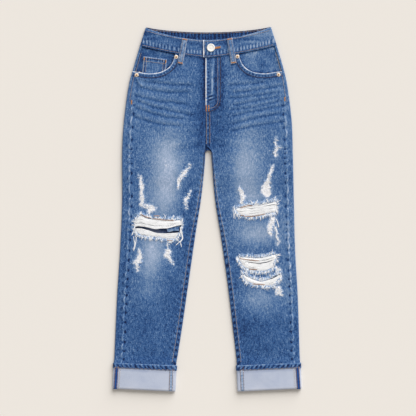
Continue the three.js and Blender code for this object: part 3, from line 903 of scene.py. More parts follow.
def front_face(side, x, y):
    """Height and shade of a front panel's outer face, with the fly on the wearer's left."""
    mouth, _ = nearest(x, y, mirrored(pocket_mouth, side))
    z = lie(x, y) + mouth_roll * close_to(mouth - 3, 4)
    shade = front_wear_and_shade(side, x, y)
    if side["out"] > 0:
        return pressed(x, y, z + fly_relief(x, y)), shade + fly_wear_and_shade(x, y)
    return pressed(x, y, z), shade + fly_shadow(x, y)


def front_shape(side):
    def shape(u, v):
        out = side["out"]
        s = u if out < 0 else 1 - u
        s = mix(s, 0.5 - 0.5 * np.cos(math.pi * s), 0.35)
        y = mix(400.0, leg_end, v)
        for _ in range(3):
            x = mix(outseam_x(side, y) - out * 0.3, inseam_x(side, y) + out * 0.15, s)
            y = mix(front_seam(x) - 0.4, leg_end, v)
        return x, y, *front_face(side, x, y)
    return shape


for side in sides:
    name = side["name"]
    own_rips = [outline for rip, outline in rips.items() if rip.startswith(name)]
    cloth_grid(f"front_panel_{name}", 102, 370, front_shape(side),
               replaces=[f"front_{name}"],
               cut=[mouth_outline(side)] + own_rips)


# ---- Seam strips -------------------------------------------------------------------------
# Where plies are sewn together the cloth ropes and wears in spots: strips along the pocket
# mouths, the outseams, the inseams and the fly flap carry that finer relief.

strip_ply = 0.5
strip_lift = 0.28


def detail_strip(name, side, path, near, far, across, step):
    """A finely divided strip on a front panel, from near to far, left of its path."""
    steps = np.hypot(*np.diff(path, axis=0).T)
    travelled = np.r_[0, np.cumsum(steps)]
    left = np.gradient(path, travelled, axis=0)
    left = np.stack([-left[:, 1], left[:, 0]], 1)
    left /= np.hypot(*left.T)[:, None]

    def shape(u, v):
        at = v * travelled[-1]
        offset = mix(near, far, u)
        x = np.interp(at, travelled, path[:, 0]) + offset * np.interp(at, travelled, left[:, 0])
        y = np.interp(at, travelled, path[:, 1]) + offset * np.interp(at, travelled, left[:, 1])
        z, shade = front_face(side, x, y)
        edge = np.minimum(np.minimum(u, 1 - u) * abs(far - near),
                          np.minimum(v, 1 - v) * travelled[-1])
        return x, y, z + strip_lift - strip_ply * np.exp(-edge / 0.8), shade

    cloth_grid(name, across, int(travelled[-1] / step), shape,
               thickness=strip_ply, faces=[denim])


for side in sides:
    name = side["name"]
    out = side["out"]
    curve = mirrored(pocket_mouth, side)
    shown = (curve[:, 1] < front_seam(curve[:, 0]) - 1.5) & (np.abs(curve[:, 0]) < 196)
    offsets = (-13.5, -0.2) if out > 0 else (0.2, 13.5)
    detail_strip(f"mouth_hem_{name}", side, curve[shown], *offsets, 12, 1.5)
    levels = np.linspace(268, -388, 120)
    seam = np.stack([outseam_x(side, levels), levels], 1)
    offsets = (1.2, 15) if out < 0 else (-13, 0.6)
    detail_strip(f"outseam_strip_{name}", side, seam, *offsets, 11, 1.6)
    levels = np.linspace(112, -388, 100)
    seam = np.stack([inseam_x(side, levels), levels], 1)
    offsets = (-12, -0.4) if out < 0 else (0.4, 12)
    detail_strip(f"inseam_strip_{name}", side, seam, *offsets, 10, 1.5)
fly_edge = np.array([(centre_front, level) for level in (394, 330, 256)], float)
detail_strip("fly_flap", left_side, fly_edge, 0.4, 33, 26, 1.3)


# ---- Back yokes --------------------------------------------------------------------------
# A shaped piece across each side of the seat, between the waistband and the back panel. It
# is lapped over the panel and sewn with two rows.

waist_fold_radius = 3.2


def waist_fold_x(side):
    """Where the waistband turns over to the back."""
    return float(line_at(side["outer"], 426)) - side["out"] * waist_fold_radius


def yoke_shape(side):
    def shape(u, v):
        t = 1 - u if side["out"] < 0 else u
        x = mix(waist_fold_x(side), centre_back, across_seat(t))
        round_under = ramp(t, fold_start, fold_end)
        top = mix(front_seam(x), back_seam(x), round_under) - 0.4
        y = mix(top, yoke_seam(t) + half_gap, v)
        x, z = round_path(side, y, t, np.zeros_like(t))
        under = ease(t, 0.16, 0.24)
        shade = back_wear_and_shade(x, y, under)
        edge = np.minimum(v, 1 - v)
        shade = shade + 0.10 * close_to(edge, 0.07) * (0.4 + roping(x, 13, 3)) * under
        return x, y, z, shade
    return shape


for side in sides:
    cloth_grid(f"yoke_panel_{side['name']}", 72, 22, yoke_shape(side),
               replaces=[f"yoke_{side['name']}"])


# ---- Sewing thread -----------------------------------------------------------------------
# Heavy tobacco-brown topstitching, with orange thread for the bartacks. Each stitch is one
# short bead of thread that dips into the cloth at both ends.

def two_toned(shader, nodes, link, scale, detail, *tones):
    """Colour that wanders between two (place, tone) pairs, in spots of the given scale."""
    noise = nodes.new("ShaderNodeTexNoise")
    noise.inputs["Scale"].default_value = scale
    noise.inputs["Detail"].default_value = detail
    link(nodes.new("ShaderNodeTexCoord").outputs["Object"], noise.inputs["Vector"])
    dye = nodes.new("ShaderNodeValToRGB")
    for element, (position, tone) in zip(dye.color_ramp.elements, tones):
        element.position = position
        element.color = colour(*tone)
    link(noise.outputs["Fac"], dye.inputs["Fac"])
    link(dye.outputs["Color"], shader.inputs["Base Color"])
    return noise.outputs["Fac"]


def thread_finish(name, tone, fuzz):
    """A matt twisted thread with slightly uneven colour."""
    material, shader, nodes, link = new_finish(name, 0.75, 0.25)
    shader.inputs["Sheen Weight"].default_value = 0.2
    low = [c * (1 - fuzz) for c in tone]
    high = [min(255, c * (1 + 0.6 * fuzz)) for c in tone]
    two_toned(shader, nodes, link, 260, 2, (0.3, low), (0.7, high))
    return material


brown_thread = thread_finish("brown_thread", (192, 174, 160), 0.2)
orange_thread = thread_finish("orange_thread", (206, 142, 84), 0.2)
pale_thread = thread_finish("pale_thread", (222, 214, 208), 0.12)
dark_thread = thread_finish("dark_thread", (74, 48, 40), 0.25)


def add_mesh(name, places, faces, material, smooth=True):
    """One joined mesh of many small pieces, already in the frame."""
    mesh = bpy.data.meshes.new(name)
    mesh.vertices.add(len(places))
    mesh.vertices.foreach_set("co", np.asarray(places, np.float32).ravel())
    corners = np.asarray(faces, np.int32)
    mesh.loops.add(corners.size)
    mesh.loops.foreach_set("vertex_index", corners.ravel())
    mesh.polygons.add(len(corners))
    mesh.polygons.foreach_set("loop_start", np.arange(len(corners), dtype=np.int32) * corners.shape[1])
    mesh.polygons.foreach_set("use_smooth", np.full(len(corners), smooth))
    mesh.update(calc_edges=True)
    mesh.materials.append(material)
    piece = bpy.data.objects.new(name, mesh)
    scene.collection.objects.link(piece)
    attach(piece, "root")
    return piece


def spaced(points, pitch):
    """Places and directions at even steps along a run."""
    points = np.asarray(points, float)
    steps = np.hypot(*np.diff(points, axis=0).T)
    travelled = np.r_[0, np.cumsum(steps)]
    count = max(int(travelled[-1] / pitch), 1)
    at = (np.arange(count) + 0.5) * travelled[-1] / count
    x = np.interp(at, travelled, points[:, 0])
    y = np.interp(at, travelled, points[:, 1])
    ahead = np.stack([np.interp(at + 0.5, travelled, points[:, k])
                      - np.interp(at - 0.5, travelled, points[:, k]) for k in (0, 1)], 1)
    ahead /= np.maximum(np.hypot(*ahead.T), 1e-9)[:, None]
    return np.stack([x, y], 1), ahead


stitch_pitch = 3.4
bead_sections = ((-0.5, 0.25), (-0.28, 1.0), (0.28, 1.0), (0.5, 0.25))      # along, size
bead_profile = ((-0.5, -0.25), (-0.28, 0.35), (0.28, 0.35), (0.5, -0.25))   # across, up


def sew(name, runs, height, material, pitch=stitch_pitch, length=2.7, width=1.15, proud=0.35,
        below=False):
    """Rows of stitches on the cloth. height(x, y) is the face that they lie on."""
    centres, ahead = [np.vstack(parts) for parts in zip(*[spaced(run, pitch) for run in runs])]
    side_way = np.stack([-ahead[:, 1], ahead[:, 0]], 1)
    up = -1 if below else 1
    rings = []
    for along, size in bead_sections:
        middle = centres + ahead * along * length
        z = height(middle[:, 0], middle[:, 1]) + up * (proud * (1 if size == 1 else 0.2))
        for across, high in bead_profile:
            flat = middle + side_way * across * width * size
            rings.append(to_frame(flat[:, 0], flat[:, 1], z + up * high * width * size))
    places = np.stack(rings, 1)
    quads = []
    for ring in range(3):
        for k in range(4):
            a = ring * 4 + k
            b = ring * 4 + (k + 1) % 4
            quads.append((a, b, b + 4, a + 4))
    quads += [(3, 2, 1, 0), (12, 13, 14, 15)]
    quads = np.array(quads)
    if not below:
        quads = quads[:, ::-1]
    faces = (quads[None] + 16 * np.arange(len(places))[:, None, None]).reshape(-1, 4)
    return add_mesh(name, places.reshape(-1, 3), faces, material)


def shifted(points, distance):
    """A run moved sideways, to its left as it goes."""
    points = np.asarray(points, float)
    ahead = np.gradient(points, axis=0)
    ahead /= np.maximum(np.hypot(*ahead.T), 1e-9)[:, None]
    return points + distance * np.stack([-ahead[:, 1], ahead[:, 0]], 1)


bartack_pitch = 1.15


def bartack(start, end, width=3.2):
    """Close stitches across a short bar, as runs for `sew`."""
    start = np.asarray(start, float)
    end = np.asarray(end, float)
    way = (end - start) / np.hypot(*(end - start))
    cross = np.array([-way[1], way[0]]) * width / 2
    count = max(int(np.hypot(*(end - start)) / bartack_pitch), 3)
    return [np.array([start + (end - start) * t - cross, start + (end - start) * t + cross])
            for t in (np.arange(count) + 0.5) / count]


# ---- Topstitching of the panels ----------------------------------------------------------
# Two rows round each pocket mouth, the J of the fly, two rows down the front rise, one down
# each inseam and down the hip; underneath, two rows at the yokes and the back rise.

def mouth_row(side, gap):
    """A row of stitches beside a pocket mouth."""
    curve = mirrored(shifted(pocket_mouth[2:], gap), side)
    return curve[(np.abs(curve[:, 0]) < 188) & (curve[:, 1] < front_seam(curve[:, 0]) - 2)]


def leg_row(x_at, top, bottom, gap):
    """A row of stitches down a leg, at a gap from a line given by x_at(y)."""
    y = np.linspace(top, bottom, 60)
    return np.stack([x_at(y) + gap, y], 1)


pocket_rows = []
outer_mouth_rows = []
inseam_rows = []
for side in sides:
    out = side["out"]
    pocket_rows.append(mouth_row(side, -2.9))
    outer_mouth_rows.append(mouth_row(side, -10.8))
    pocket_rows.append(leg_row(lambda y: line_at(side["outer"], y), 408, 280, -out * 9))
    inseam_rows.append(leg_row(lambda y: inseam_x(side, y), 92, -396, out * 1.2))
fly_inner = rounded([(28, 397), (28, 300), (27.4, 278), (20.4, 267.8), (9.5, 264), (-1.4, 263)])
fly_outer = rounded([(34.7, 398), (34.7, 300), (32.4, 276), (24.3, 264), (16.5, 259), (8.5, 256.4),
                     (-1.4, 254.8)])
rise_rows = [np.array([(-1.6, 254), (-1.2, 170)]), np.array([(7.2, 254), (7.6, 172)])]


def on_front(x, y):
    return lie(x, y) + np.where(x > centre_front, fly_relief(x, y), 0)


sew("pocket_and_hip_stitching", pocket_rows, on_front, brown_thread)
sew("outer_mouth_stitching", outer_mouth_rows + [fly_outer], on_front, dark_thread, width=1.9)
sew("fly_stitching", [fly_inner] + rise_rows, on_front, brown_thread)
sew("inseam_stitching", inseam_rows, on_front, brown_thread)
bars = bartack((-196, 285), (-196, 274)) + bartack((202, 293), (202, 282))
bars += bartack((-2, 272), (-2, 256), 4) + bartack((4.5, 272), (4.5, 256), 4)
sew("front_bartacks", bars, on_front, orange_thread, pitch=9, length=3.4, width=1.3)

seat_gaps = (2.5, 8.5)
seat_rows = []
for side in sides:
    t = np.linspace(0.3, 0.99, 60)
    for gap in seat_gaps:
        y = yoke_seam(t) + gap
        x, _ = round_path(side, y, t, np.zeros_like(t))
        seat_rows.append(np.stack([x, y], 1))
for gap in seat_gaps:
    seat_rows.append(np.array([(centre_back + gap, 412), (centre_back + gap, 168)]))
sew("seat_stitching", seat_rows, lambda x, y: underside(y), brown_thread, below=True)


# ---- Pocket facings and the coin pocket --------------------------------------------------
# A piece of the same denim shows inside each pocket mouth. The wearer's right one carries the
# small coin pocket, hemmed along its top and sewn down its sides with two rows.

facing_height = 5.9
facing_foot = 304.0
coin_height = 7.3


def facing_shape(side):
    def shape(u, v):
        s = u if side["out"] < 0 else 1 - u
        out = side["out"]
        y = mix(425.0, facing_foot, v)
        for _ in range(3):
            outer = line_at(side["outer"], y) - out * 5.5
            x = mix(outer, out * mix(100, 74, ramp(y, 300, 400)), s)
            y = mix(front_seam(x) - 0.3, facing_foot, v)
        z = facing_height + 0.35 * mottle(x, y, 24, 2) - 1.2 * (1 - ease(s, 0, 0.06))
        shade = (0.33 if out < 0 else 0.50) + 0.13 * mottle(x, y, 26, 3) + 0.08 * mottle(x, y, 9, 1)
        below_band = front_seam(x) - y
        shade = shade - 0.34 * close_to(below_band, 2.6)
        shade = shade + 0.24 * close_to(below_band - 7, 3.2) * (0.6 + 0.8 * mottle(x, y, 12, 5))
        # Painted shadow on the facing just inside the pocket mouth's edge.
        mouth, _ = nearest(x, y, mirrored(pocket_mouth, side))
        shade = shade - 0.34 * close_to(mouth, 4.2)
        return x, y, z, shade
    return shape


for side in sides:
    cloth_grid(f"facing_{side['name']}", 50, 44, facing_shape(side),
               replaces=[f"pocket_facing_{side['name']}"])

coin_corners = np.array([(-165, 399), (-104, 391), (-113, 312), (-172, 318)], float)


def between(corners, u, v):
    """A place inside four corners, given from the top left one round with the clock."""
    top = mix(corners[0], corners[1], u[:, None])
    bottom = mix(corners[3], corners[2], u[:, None])
    return mix(top, bottom, v[:, None]).T


def coin_shape(u, v):
    x, y = between(coin_corners, u, v)
    edge = np.minimum(np.minimum(u, 1 - u) * 60, v * 80)
    hem = close_to(v * 80 - 5, 5)
    puckers = wave(u * 9 + 0.3 * mottle(x, y, 20, 1)) * hem
    z = coin_height - 0.9 * close_to(edge, 1.2) + 0.22 * puckers
    shade = 0.48 + 0.10 * mottle(x, y, 18, 4) + 0.34 * puckers
    shade = shade + 0.42 * close_to(edge - 0.8, 1.3) - 0.24 * close_to(edge - 5, 2.5)
    return x, y, z, shade


cloth_grid("coin_pocket_patch", 30, 36, coin_shape,
           replaces=["coin_pocket"])


def coin_run(points):
    """A run given in shares across and down the coin pocket."""
    return between(coin_corners, *np.array(points, float).T).T


def at_height(height):
    """A level face to sew on."""
    return lambda x, y: np.full_like(x, height)


coin_rows = [coin_run([(0.03, 0.035), (0.97, 0.035)]), coin_run([(0.03, 0.15), (0.97, 0.15)])]
for edge in (0.04, 0.14, 0.86, 0.96):
    coin_rows.append(coin_run([(edge, 0.04), (edge, 0.5)]))
sew("coin_pocket_stitching", coin_rows, at_height(coin_height + 0.1), brown_thread)
coin_bars = [run for u in (0.04, 0.96) for run in bartack(*coin_run([(u, 0.02), (u, 0.12)]))]
sew("coin_pocket_bartacks", coin_bars, at_height(coin_height + 0.3), orange_thread, pitch=9,
    length=3.2, width=1.2)


# ---- Back pockets ------------------------------------------------------------------------
# Two pointed patches of denim under the seat, with their edges turned in. Each is hemmed at
# the top and sewn on round its sides and point with two rows.

pocket_out = 106          # from the back rise to a pocket's middle


def pocket_place(side, u, v):
    x = (2 * u - 1) * mix(70, 62, v)
    point = 152 + 30 * np.abs(2 * u - 1) ** 1.15
    y = mix(302 - 3.5 * (2 * u - 1), point, v)
    return centre_back + side["out"] * (pocket_out - x), y


def back_pocket_shape(side):
    def shape(u, v):
        t = u if side["out"] > 0 else 1 - u
        x, y = pocket_place(side, t, v)
        edge = np.minimum(np.minimum(t, 1 - t) * 130, np.minimum(v, 1 - v) * 145)
        z = 0.25 + 0.9 * close_to(edge, 1.5) + 0.12 * (1 + mottle(x, y, 22, 2))
        shade = 0.52 + 0.08 * mottle(x, y, 26, 5) + 0.05 * mottle(x, y, 9, 3)
        shade = shade + 0.34 * close_to(edge - 1, 1.8)
        shade = shade - 0.10 * close_to(edge - 7, 4) * (0.5 + roping(x + y, 14, 2))
        return x, y, z, shade
    return shape


back_pocket_rows = []
for side in sides:
    cloth_grid(f"back_pocket_patch_{side['name']}", 56, 60, back_pocket_shape(side),
               replaces=[f"back_pocket_{side['name']}"])
    for inset in (0.02, 0.075):
        u = np.r_[np.full(20, inset), np.linspace(inset, 1 - inset, 40), np.full(20, 1 - inset)]
        v = np.r_[np.linspace(0.02, 1 - inset, 20), np.full(40, 1 - inset),
                  np.linspace(1 - inset, 0.02, 20)]
        back_pocket_rows.append(np.stack(pocket_place(side, u, v), 1))
    for hem in (0.02, 0.16):
        u = np.linspace(0.02, 0.98, 30)
        back_pocket_rows.append(np.stack(pocket_place(side, u, np.full(30, hem)), 1))
sew("back_pocket_stitching", back_pocket_rows, at_height(0.5), brown_thread, below=True,
    proud=0.12, width=1.0)


# ---- Waistband ---------------------------------------------------------------------------
# One long strip of denim folded double along its top edge. It runs from the buttonhole end at
# the fly round the back to the button end, which lies underneath, and roping puckers its seams.

waistband_ply = 2.4
overlap_end = -10
underlap_end = 22
hip_height = 8.0
overlap_height = 9.5
underlap_height = 6.8
pleat_pitch = 8.7
fold_pitch = 5.6


def band_levels(x, back, v):
    """Level in the waistband, v from its top edge to its seam; back is 1 at the back."""
    top = mix(front_edge(x), back_edge(x), back)
    bottom = mix(front_seam(x), back_seam(x), back) + 0.4
    return mix(top, bottom, v)


def band_height(x):
    """Outer face of the waistband in front, over the top end and beside it."""
    return mix(overlap_height, hip_height, ramp(x, 25, 48)) + 0.5


def pleats(x, v):
    """Puckers along the top fold and, deeper, along the waist seam."""
    drift = 0.7 * mottle(x, 0, 29, 2)
    deep = wave(x / pleat_pitch + drift)
    fine = wave(x / fold_pitch - drift)
    return deep * close_to(v - 0.86, 0.16) + 0.7 * fine * close_to(v - 0.05, 0.14)


def band_shape(u, v):
    right_fold = waist_fold_x(right_side)
    left_fold = waist_fold_x(left_side)
    start = ramp(u, 0, 0.26)
    turn = ramp(u, 0.26, 0.30)
    behind = ramp(u, 0.30, 0.70)
    turn_back = ramp(u, 0.70, 0.74)
    end = ramp(u, 0.74, 1)
    x = mix(overlap_end, left_fold, start)
    x = np.where(u > 0.30, mix(left_fold, right_fold, behind), x)
    x = np.where(u > 0.74, mix(right_fold, underlap_end, end), x)
    back = np.where(u < 0.5, turn, 1 - turn_back)
    y = band_levels(x, back, v)
    front = np.where(u < 0.5, band_height(x) - 0.5,
                     mix(hip_height, underlap_height, ramp(x, -50, -20)))
    across = waist_fold_radius * (1 - np.sin(math.pi * turn))
    over_left = line_at(left_side["outer"], y) - across
    across = waist_fold_radius * (1 - np.sin(math.pi * turn_back))
    over_right = line_at(right_side["outer"], y) + across
    lean_left = line_at(left_side["outer"], y) - waist_fold_radius - left_fold
    lean_right = line_at(right_side["outer"], y) + waist_fold_radius - right_fold
    x = np.where(u < 0.26, x + lean_left * start ** 2, x)
    x = np.where((u >= 0.26) & (u <= 0.30), over_left, x)
    x = np.where((u > 0.30) & (u < 0.70), x + mix(lean_left, lean_right, behind)
                 * np.abs(2 * behind - 1) ** 3, x)
    x = np.where((u >= 0.70) & (u <= 0.74), over_right, x)
    x = np.where(u > 0.74, x + lean_right * (1 - end) ** 2, x)
    z = mix(under_piece, front, (1 + np.cos(math.pi * back)) / 2)
    on_front = 1 - back
    under = ease(u, 0.85, 0.93) * ease(x, -40, -14)
    pleat = pleats(x, v)
    z = z + on_front * (0.5 + 0.45 * pleat + 0.3 * mottle(x, y, 30, 6)) * (1 - under)
    z = z - 0.8 * on_front * close_to(v, 0.05) * (1 - under)
    blocks = np.clip(1.6 * wave(x / pleat_pitch + 0.7 * mottle(x, 0, 29, 2)), -1, 1)
    streaks = mottle(x + 2 * y, 7 * y, 46, 5) + 0.6 * mottle(x - 2 * y, 9 * y, 30, 1)
    outside = 0.39 + 0.22 * streaks * close_to(v - 0.4, 0.35) + 0.05 * mottle(x, y, 40, 0)
    outside = outside + (0.11 + 0.26 * blocks) * close_to(v - 0.74, 0.13, 4)
    outside = outside - 0.22 * close_to(v - 0.9, 0.04) + 0.26 * close_to(v, 0.045)
    outside = outside + 0.14 * close_to(x - 135, 60)
    outside = outside + 0.12 * mottle(x, y, 11, 3) * close_to(v - 0.1, 0.1)
    outside = outside + 0.85 * close_to(x - overlap_end, 2.2) * (u < 0.2)
    fold_pleats = wave(x / pleat_pitch + 0.6 * mottle(x, 0, 24, 5))
    within = 0.41 + 0.20 * fold_pleats + 0.12 * mottle(x, y, 10, 4) - 0.2 * close_to(v, 0.04)
    within = within + 0.16 * close_to(v - 0.35, 0.2) * mottle(x, y, 30, 1)
    z = z + back * 0.35 * (1 + fold_pleats) * close_to(v - 0.3, 0.4)
    return x, y, z, mix(outside, within, ease(back, 0.4, 0.9))


# The inner face of the band is darker: partly dye it has kept, partly painted shade where the front of
# the band shades it.
unfaded_and_shaded_steps = [(0.0, indigo_steps[0][1])] + [(place + 0.30, tone) for place, tone in indigo_steps[:7]]
denim_unfaded_and_shaded = cloth_finish("denim_unfaded_and_shaded", unfaded_and_shaded_steps, 1.1, 0.05)
cloth_grid("waistband_strip", 420, 22, band_shape,
           replaces=["waistband"],
           thickness=waistband_ply, faces=[denim, denim_unfaded_and_shaded])


def band_top(x, y):
    """The waistband's outer face in front, with its pleats."""
    v = (front_edge(x) - y) / (front_edge(x) - front_seam(x))
    return band_height(x) + 0.45 * pleats(x, v)


band_rows = []
for share in (0.07, 0.93):
    x = np.linspace(-6, 172 if share > 0.5 else 162, 80)
    band_rows.append(np.stack([x, band_levels(x, 0, share)], 1))
    x = np.linspace(-168 if share > 0.5 else -158, -12, 80)
    band_rows.append(np.stack([x, band_levels(x, 0, share)], 1))
band_rows.append(np.array([(-6.5, 437), (-6.5, 399)]))
sew("waistband_stitching", band_rows, band_top, brown_thread)
x = np.linspace(-150, 156, 120)
inner_rows = [np.stack([x, back_edge(x) - 2.6], 1)]
sew("waistband_inside_stitching", inner_rows, at_height(under_piece + waistband_ply + 0.7),
    brown_thread)
outer_rows = [np.stack([x, back_edge(x) - drop], 1) for drop in (3, 42)]
sew("waistband_back_stitching", outer_rows, at_height(under_piece), brown_thread, below=True)

# The buttonhole: a keyhole closely bound in orange thread.
keyhole = [np.array([(17.5, 421.4), (33.5, 423.4)]), np.array([(17.5, 418.6), (33.5, 420.8)])]
binding = [run for bar in keyhole for run in bartack(*bar, 2.2)]
eye_radius = 3.4
eye = [(17 + eye_radius * math.cos(a), 420 + eye_radius * math.sin(a))
       for a in np.linspace(0.8, 5.5, 12)]
for ends in zip(eye[:-1], eye[1:]):
    binding += bartack(*ends, 2.2)
binding += bartack((33.8, 419.6), (33.8, 425))
sew("buttonhole_binding", binding, band_top, orange_thread, pitch=9, length=2.8, width=1.2)


# ---- Belt loops --------------------------------------------------------------------------
# Narrow folded strips with two rows of stitching, tacked in orange at both ends: two slanted
# ones in front, three behind.

loop_width = 14
front_loop_height = 10.4
back_loop_height = 0.95
back_loop_length = 64


def strap(place_name, top, bottom, height, arch, below=False):
    """One belt loop from its top to its bottom end, with its stitching and bartacks."""
    name = f"loop_{place_name}"
    top = np.array(top, float)
    bottom = np.array(bottom, float)
    way = (bottom - top) / np.hypot(*(bottom - top))
    across = np.array([-way[1], way[0]])
    if below:
        across = -across

    def shape(u, v):
        place = top + (bottom - top) * v[:, None] + across * (u[:, None] - 0.5) * loop_width
        crown = 1 - np.abs(2 * u - 1) ** 4
        lifted = height + arch * np.sin(math.pi * v)
        z = lifted + (0 if below else 0.7) * crown
        x, y = place.T
        off_centre = np.abs(2 * u - 1)
        shade = 0.68 + 0.14 * mottle(x, y, 9, 1) - 0.02 * crown
        shade = shade + 0.22 * close_to(off_centre - 0.93, 0.1)
        shade = shade - 0.30 * close_to(off_centre - 0.55, 0.12)
        shade = shade + 0.2 * close_to(np.minimum(v, 1 - v), 0.04)
        shade = shade + 0.06 * wave(v * 9) * close_to(off_centre - 0.6, 0.3)
        return x, y, z, shade

    cloth_grid(name, 10, 34, shape,
               replaces=[f"belt_{name}"], faces=[denim])
    rows = []
    for edge in (-0.3, 0.3):
        rows.append(np.array([top + way * 3 + across * edge * loop_width,
                              bottom - way * 3 + across * edge * loop_width]))
    bars = []
    for end in (top + way * 2.6, bottom - way * 2.6):
        bars += bartack(end - across * loop_width * 0.42, end + across * loop_width * 0.42, 3.4)

    def face(x, y):
        share = ((x - top[0]) * way[0] + (y - top[1]) * way[1]) / np.hypot(*(bottom - top))
        return height + arch * np.sin(math.pi * np.clip(share, 0, 1)) + (0.0 if below else 0.6)

    sew(f"{name}_stitching", rows, face, brown_thread, below=below, proud=0.2)
    sew(f"{name}_bartacks", bars, face, orange_thread, pitch=9, length=3.6, width=1.2,
        below=below, proud=0.25)


strap("front_right", (-57, 445), (-70, 379), front_loop_height, 1.0)
strap("front_left", (58.5, 446), (69.5, 380), front_loop_height, 1.0)
for name, offset in (("right", -95), ("centre", 0), ("left", 95)):
    x = centre_back + offset
    top = float(back_edge(x)) - 1
    strap(f"back_{name}", (x, top), (x, top - back_loop_length), back_loop_height, 0.0, below=True)


# ---- Turn-ups ----------------------------------------------------------------------------
# Each leg end is turned outwards and up, so the pale wrong side shows, with the side seams'
# allowances on it and the roped, stitched hem as a dark band along its upper edge.

cuff_top = {"outer": -398, "inner": -405}
cuff_bottom = {"outer": -465, "inner": -472.4}
hem_band = 14
hem_ply = 0.9
cuff_high = 9.1
cuff_puff = 1.1
fold_share = 0.08         # of the way round, from a fold's middle to the flat


def cuff_round(side, u, v, grow=0.0):
    """A place round the flattened tube: over the outer fold, the front, the inner fold, back."""
    out = side["out"]
    inner_start = 0.5 - fold_share / 2
    inner_end = 0.5 + fold_share / 2
    outer_end = 1 - fold_share
    over = ramp(u, fold_share, inner_start)
    under = ramp(u, inner_end, outer_end)
    share = over - under
    y = mix(mix(cuff_top["outer"], cuff_top["inner"], share),
            mix(cuff_bottom["outer"], cuff_bottom["inner"], share), v)
    high = cuff_high + 1.2 + grow
    radius = high / 2
    outer = line_at(side["outer"], y) + out * (under_piece + grow - radius)
    inner = line_at(side["inner"], y) - out * (under_piece + grow - radius)
    turn = math.pi * (0.5 * ramp(u, 0, fold_share) + 0.5)
    x = np.where(u < fold_share, outer + out * radius * np.sin(turn), mix(outer, inner, over))
    z = np.where(u < fold_share, radius - radius * np.cos(turn), high)
    turn = math.pi * ramp(u, inner_start, inner_end)
    x = np.where(u > inner_start, inner - out * radius * np.sin(turn), x)
    z = np.where(u > inner_start, radius + radius * np.cos(turn), z)
    x = np.where(u > inner_end, mix(inner, outer, under), x)
    z = np.where(u > inner_end, table_gap, z)
    turn = math.pi * 0.5 * ramp(u, outer_end, 1)
    x = np.where(u > outer_end, outer + out * radius * np.sin(turn), x)
    z = np.where(u > outer_end, radius - radius * np.cos(turn), z)
    return x, y, z, share


def cuff_shape(side):
    def shape(u, v):
        t = u if side["out"] < 0 else 1 - u
        x, y, z, share = cuff_round(side, t, v)
        on_top = ramp(z, 2, cuff_high)
        puff = cuff_puff * (1 - np.abs(2 * share - 1) ** 4) * on_top
        z = z + puff + 0.35 * on_top * mottle(x, y, 34, 3)
        turned = 1 - np.sqrt(np.clip(1 - ramp(v, 0.93, 1) ** 2, 0, 1))
        z = z - 2.0 * turned * on_top
        z = np.where(z < 1, z + 0.5 * (1 - ease(v, 0.24, 0.3)), z)
        shade = 0.73 + 0.05 * mottle(x, y, 30, 1) + 0.03 * mottle(x, y, 9, 6)
        # The row just under the hem band is painted shadow.
        shade = shade + 0.10 * close_to(v - 0.95, 0.04) - 0.10 * close_to(v - 0.25, 0.06)
        return x, y, z, shade
    return shape


def hem_shape(side):
    def shape(u, v):
        t = u if side["out"] < 0 else 1 - u
        x, y, z, share = cuff_round(side, t, v * 0.2 - 0.003, 1.0)
        on_top = ramp(z, 2, cuff_high)
        twist = wave((x + 9 * v * side["out"]) / 11.5 + 0.5 * mottle(x, 0, 31, 2))
        z = z + on_top * (cuff_puff * (1 - np.abs(2 * share - 1) ** 4)
                          + 0.9 * (1 - np.abs(2 * v - 1) ** 3) + 0.35 * twist)
        shade = 0.30 + 0.30 * twist * close_to(v - 0.5, 0.36) + 0.10 * mottle(x, y, 8, 4)
        shade = shade + 0.46 * close_to(v, 0.16) * (0.9 + 0.4 * mottle(x, y, 7, 2))
        shade = shade + 0.16 * close_to(v - 1, 0.1)
        return x, y, z, shade
    return shape


def cuff_face(x, y):
    """Height of a turn-up's front, just over which its seams lie."""
    side_share = np.where(leg_side(x) < 0, ramp(x, -246, -80), ramp(x, 246, 78))
    return cuff_high + 1.2 + cuff_puff * (1 - np.abs(2 * side_share - 1) ** 4)


bright_steps = [(0.0, (12, 46, 104)), (0.5, (34, 86, 160)), (1.0, (96, 140, 202))]
bright_denim = cloth_finish("bright_denim", bright_steps, 0.5, 0.04)
tan_thread = thread_finish("tan_thread", (158, 124, 100), 0.25)


def cuff_strip(side, name, top_x, bottom_x, width, shade_level, proud, material):
    """A seam allowance down a turn-up, from under the hem to the fold."""
    start = np.array([top_x, -407.0])
    end = np.array([bottom_x, -466.0 if abs(top_x) > 150 else -471.0])

    def shape(u, v):
        place = start + (end - start) * v[:, None]
        x = place[:, 0] + (u - 0.5) * width
        y = place[:, 1]
        z = cuff_face(x, y) + proud * (1 - np.abs(2 * u - 1) ** 4) - 1.8 * ramp(v, 0.95, 1) ** 2
        nips = wave(y / 7.5 + 0.4 * mottle(y, 0, 20, 1))
        shade = shade_level + 0.05 * nips + 0.06 * mottle(x, y, 6, 2)
        shade = shade + 0.12 * close_to(np.abs(2 * u - 1) - 0.9, 0.15)
        return x, y, z, shade

    cloth_grid(f"{name}_{side['name']}", 8, 30, shape,
               thickness=hem_ply, faces=[material])
    rows = []
    for edge in (-0.36, 0.36):
        rows.append(np.array([start + (edge * width, 0), end + (edge * width, 2)]))
    sew(f"{name}_stitching_{side['name']}", rows, lambda x, y: cuff_face(x, y) + proud, tan_thread,
        width=1.5)


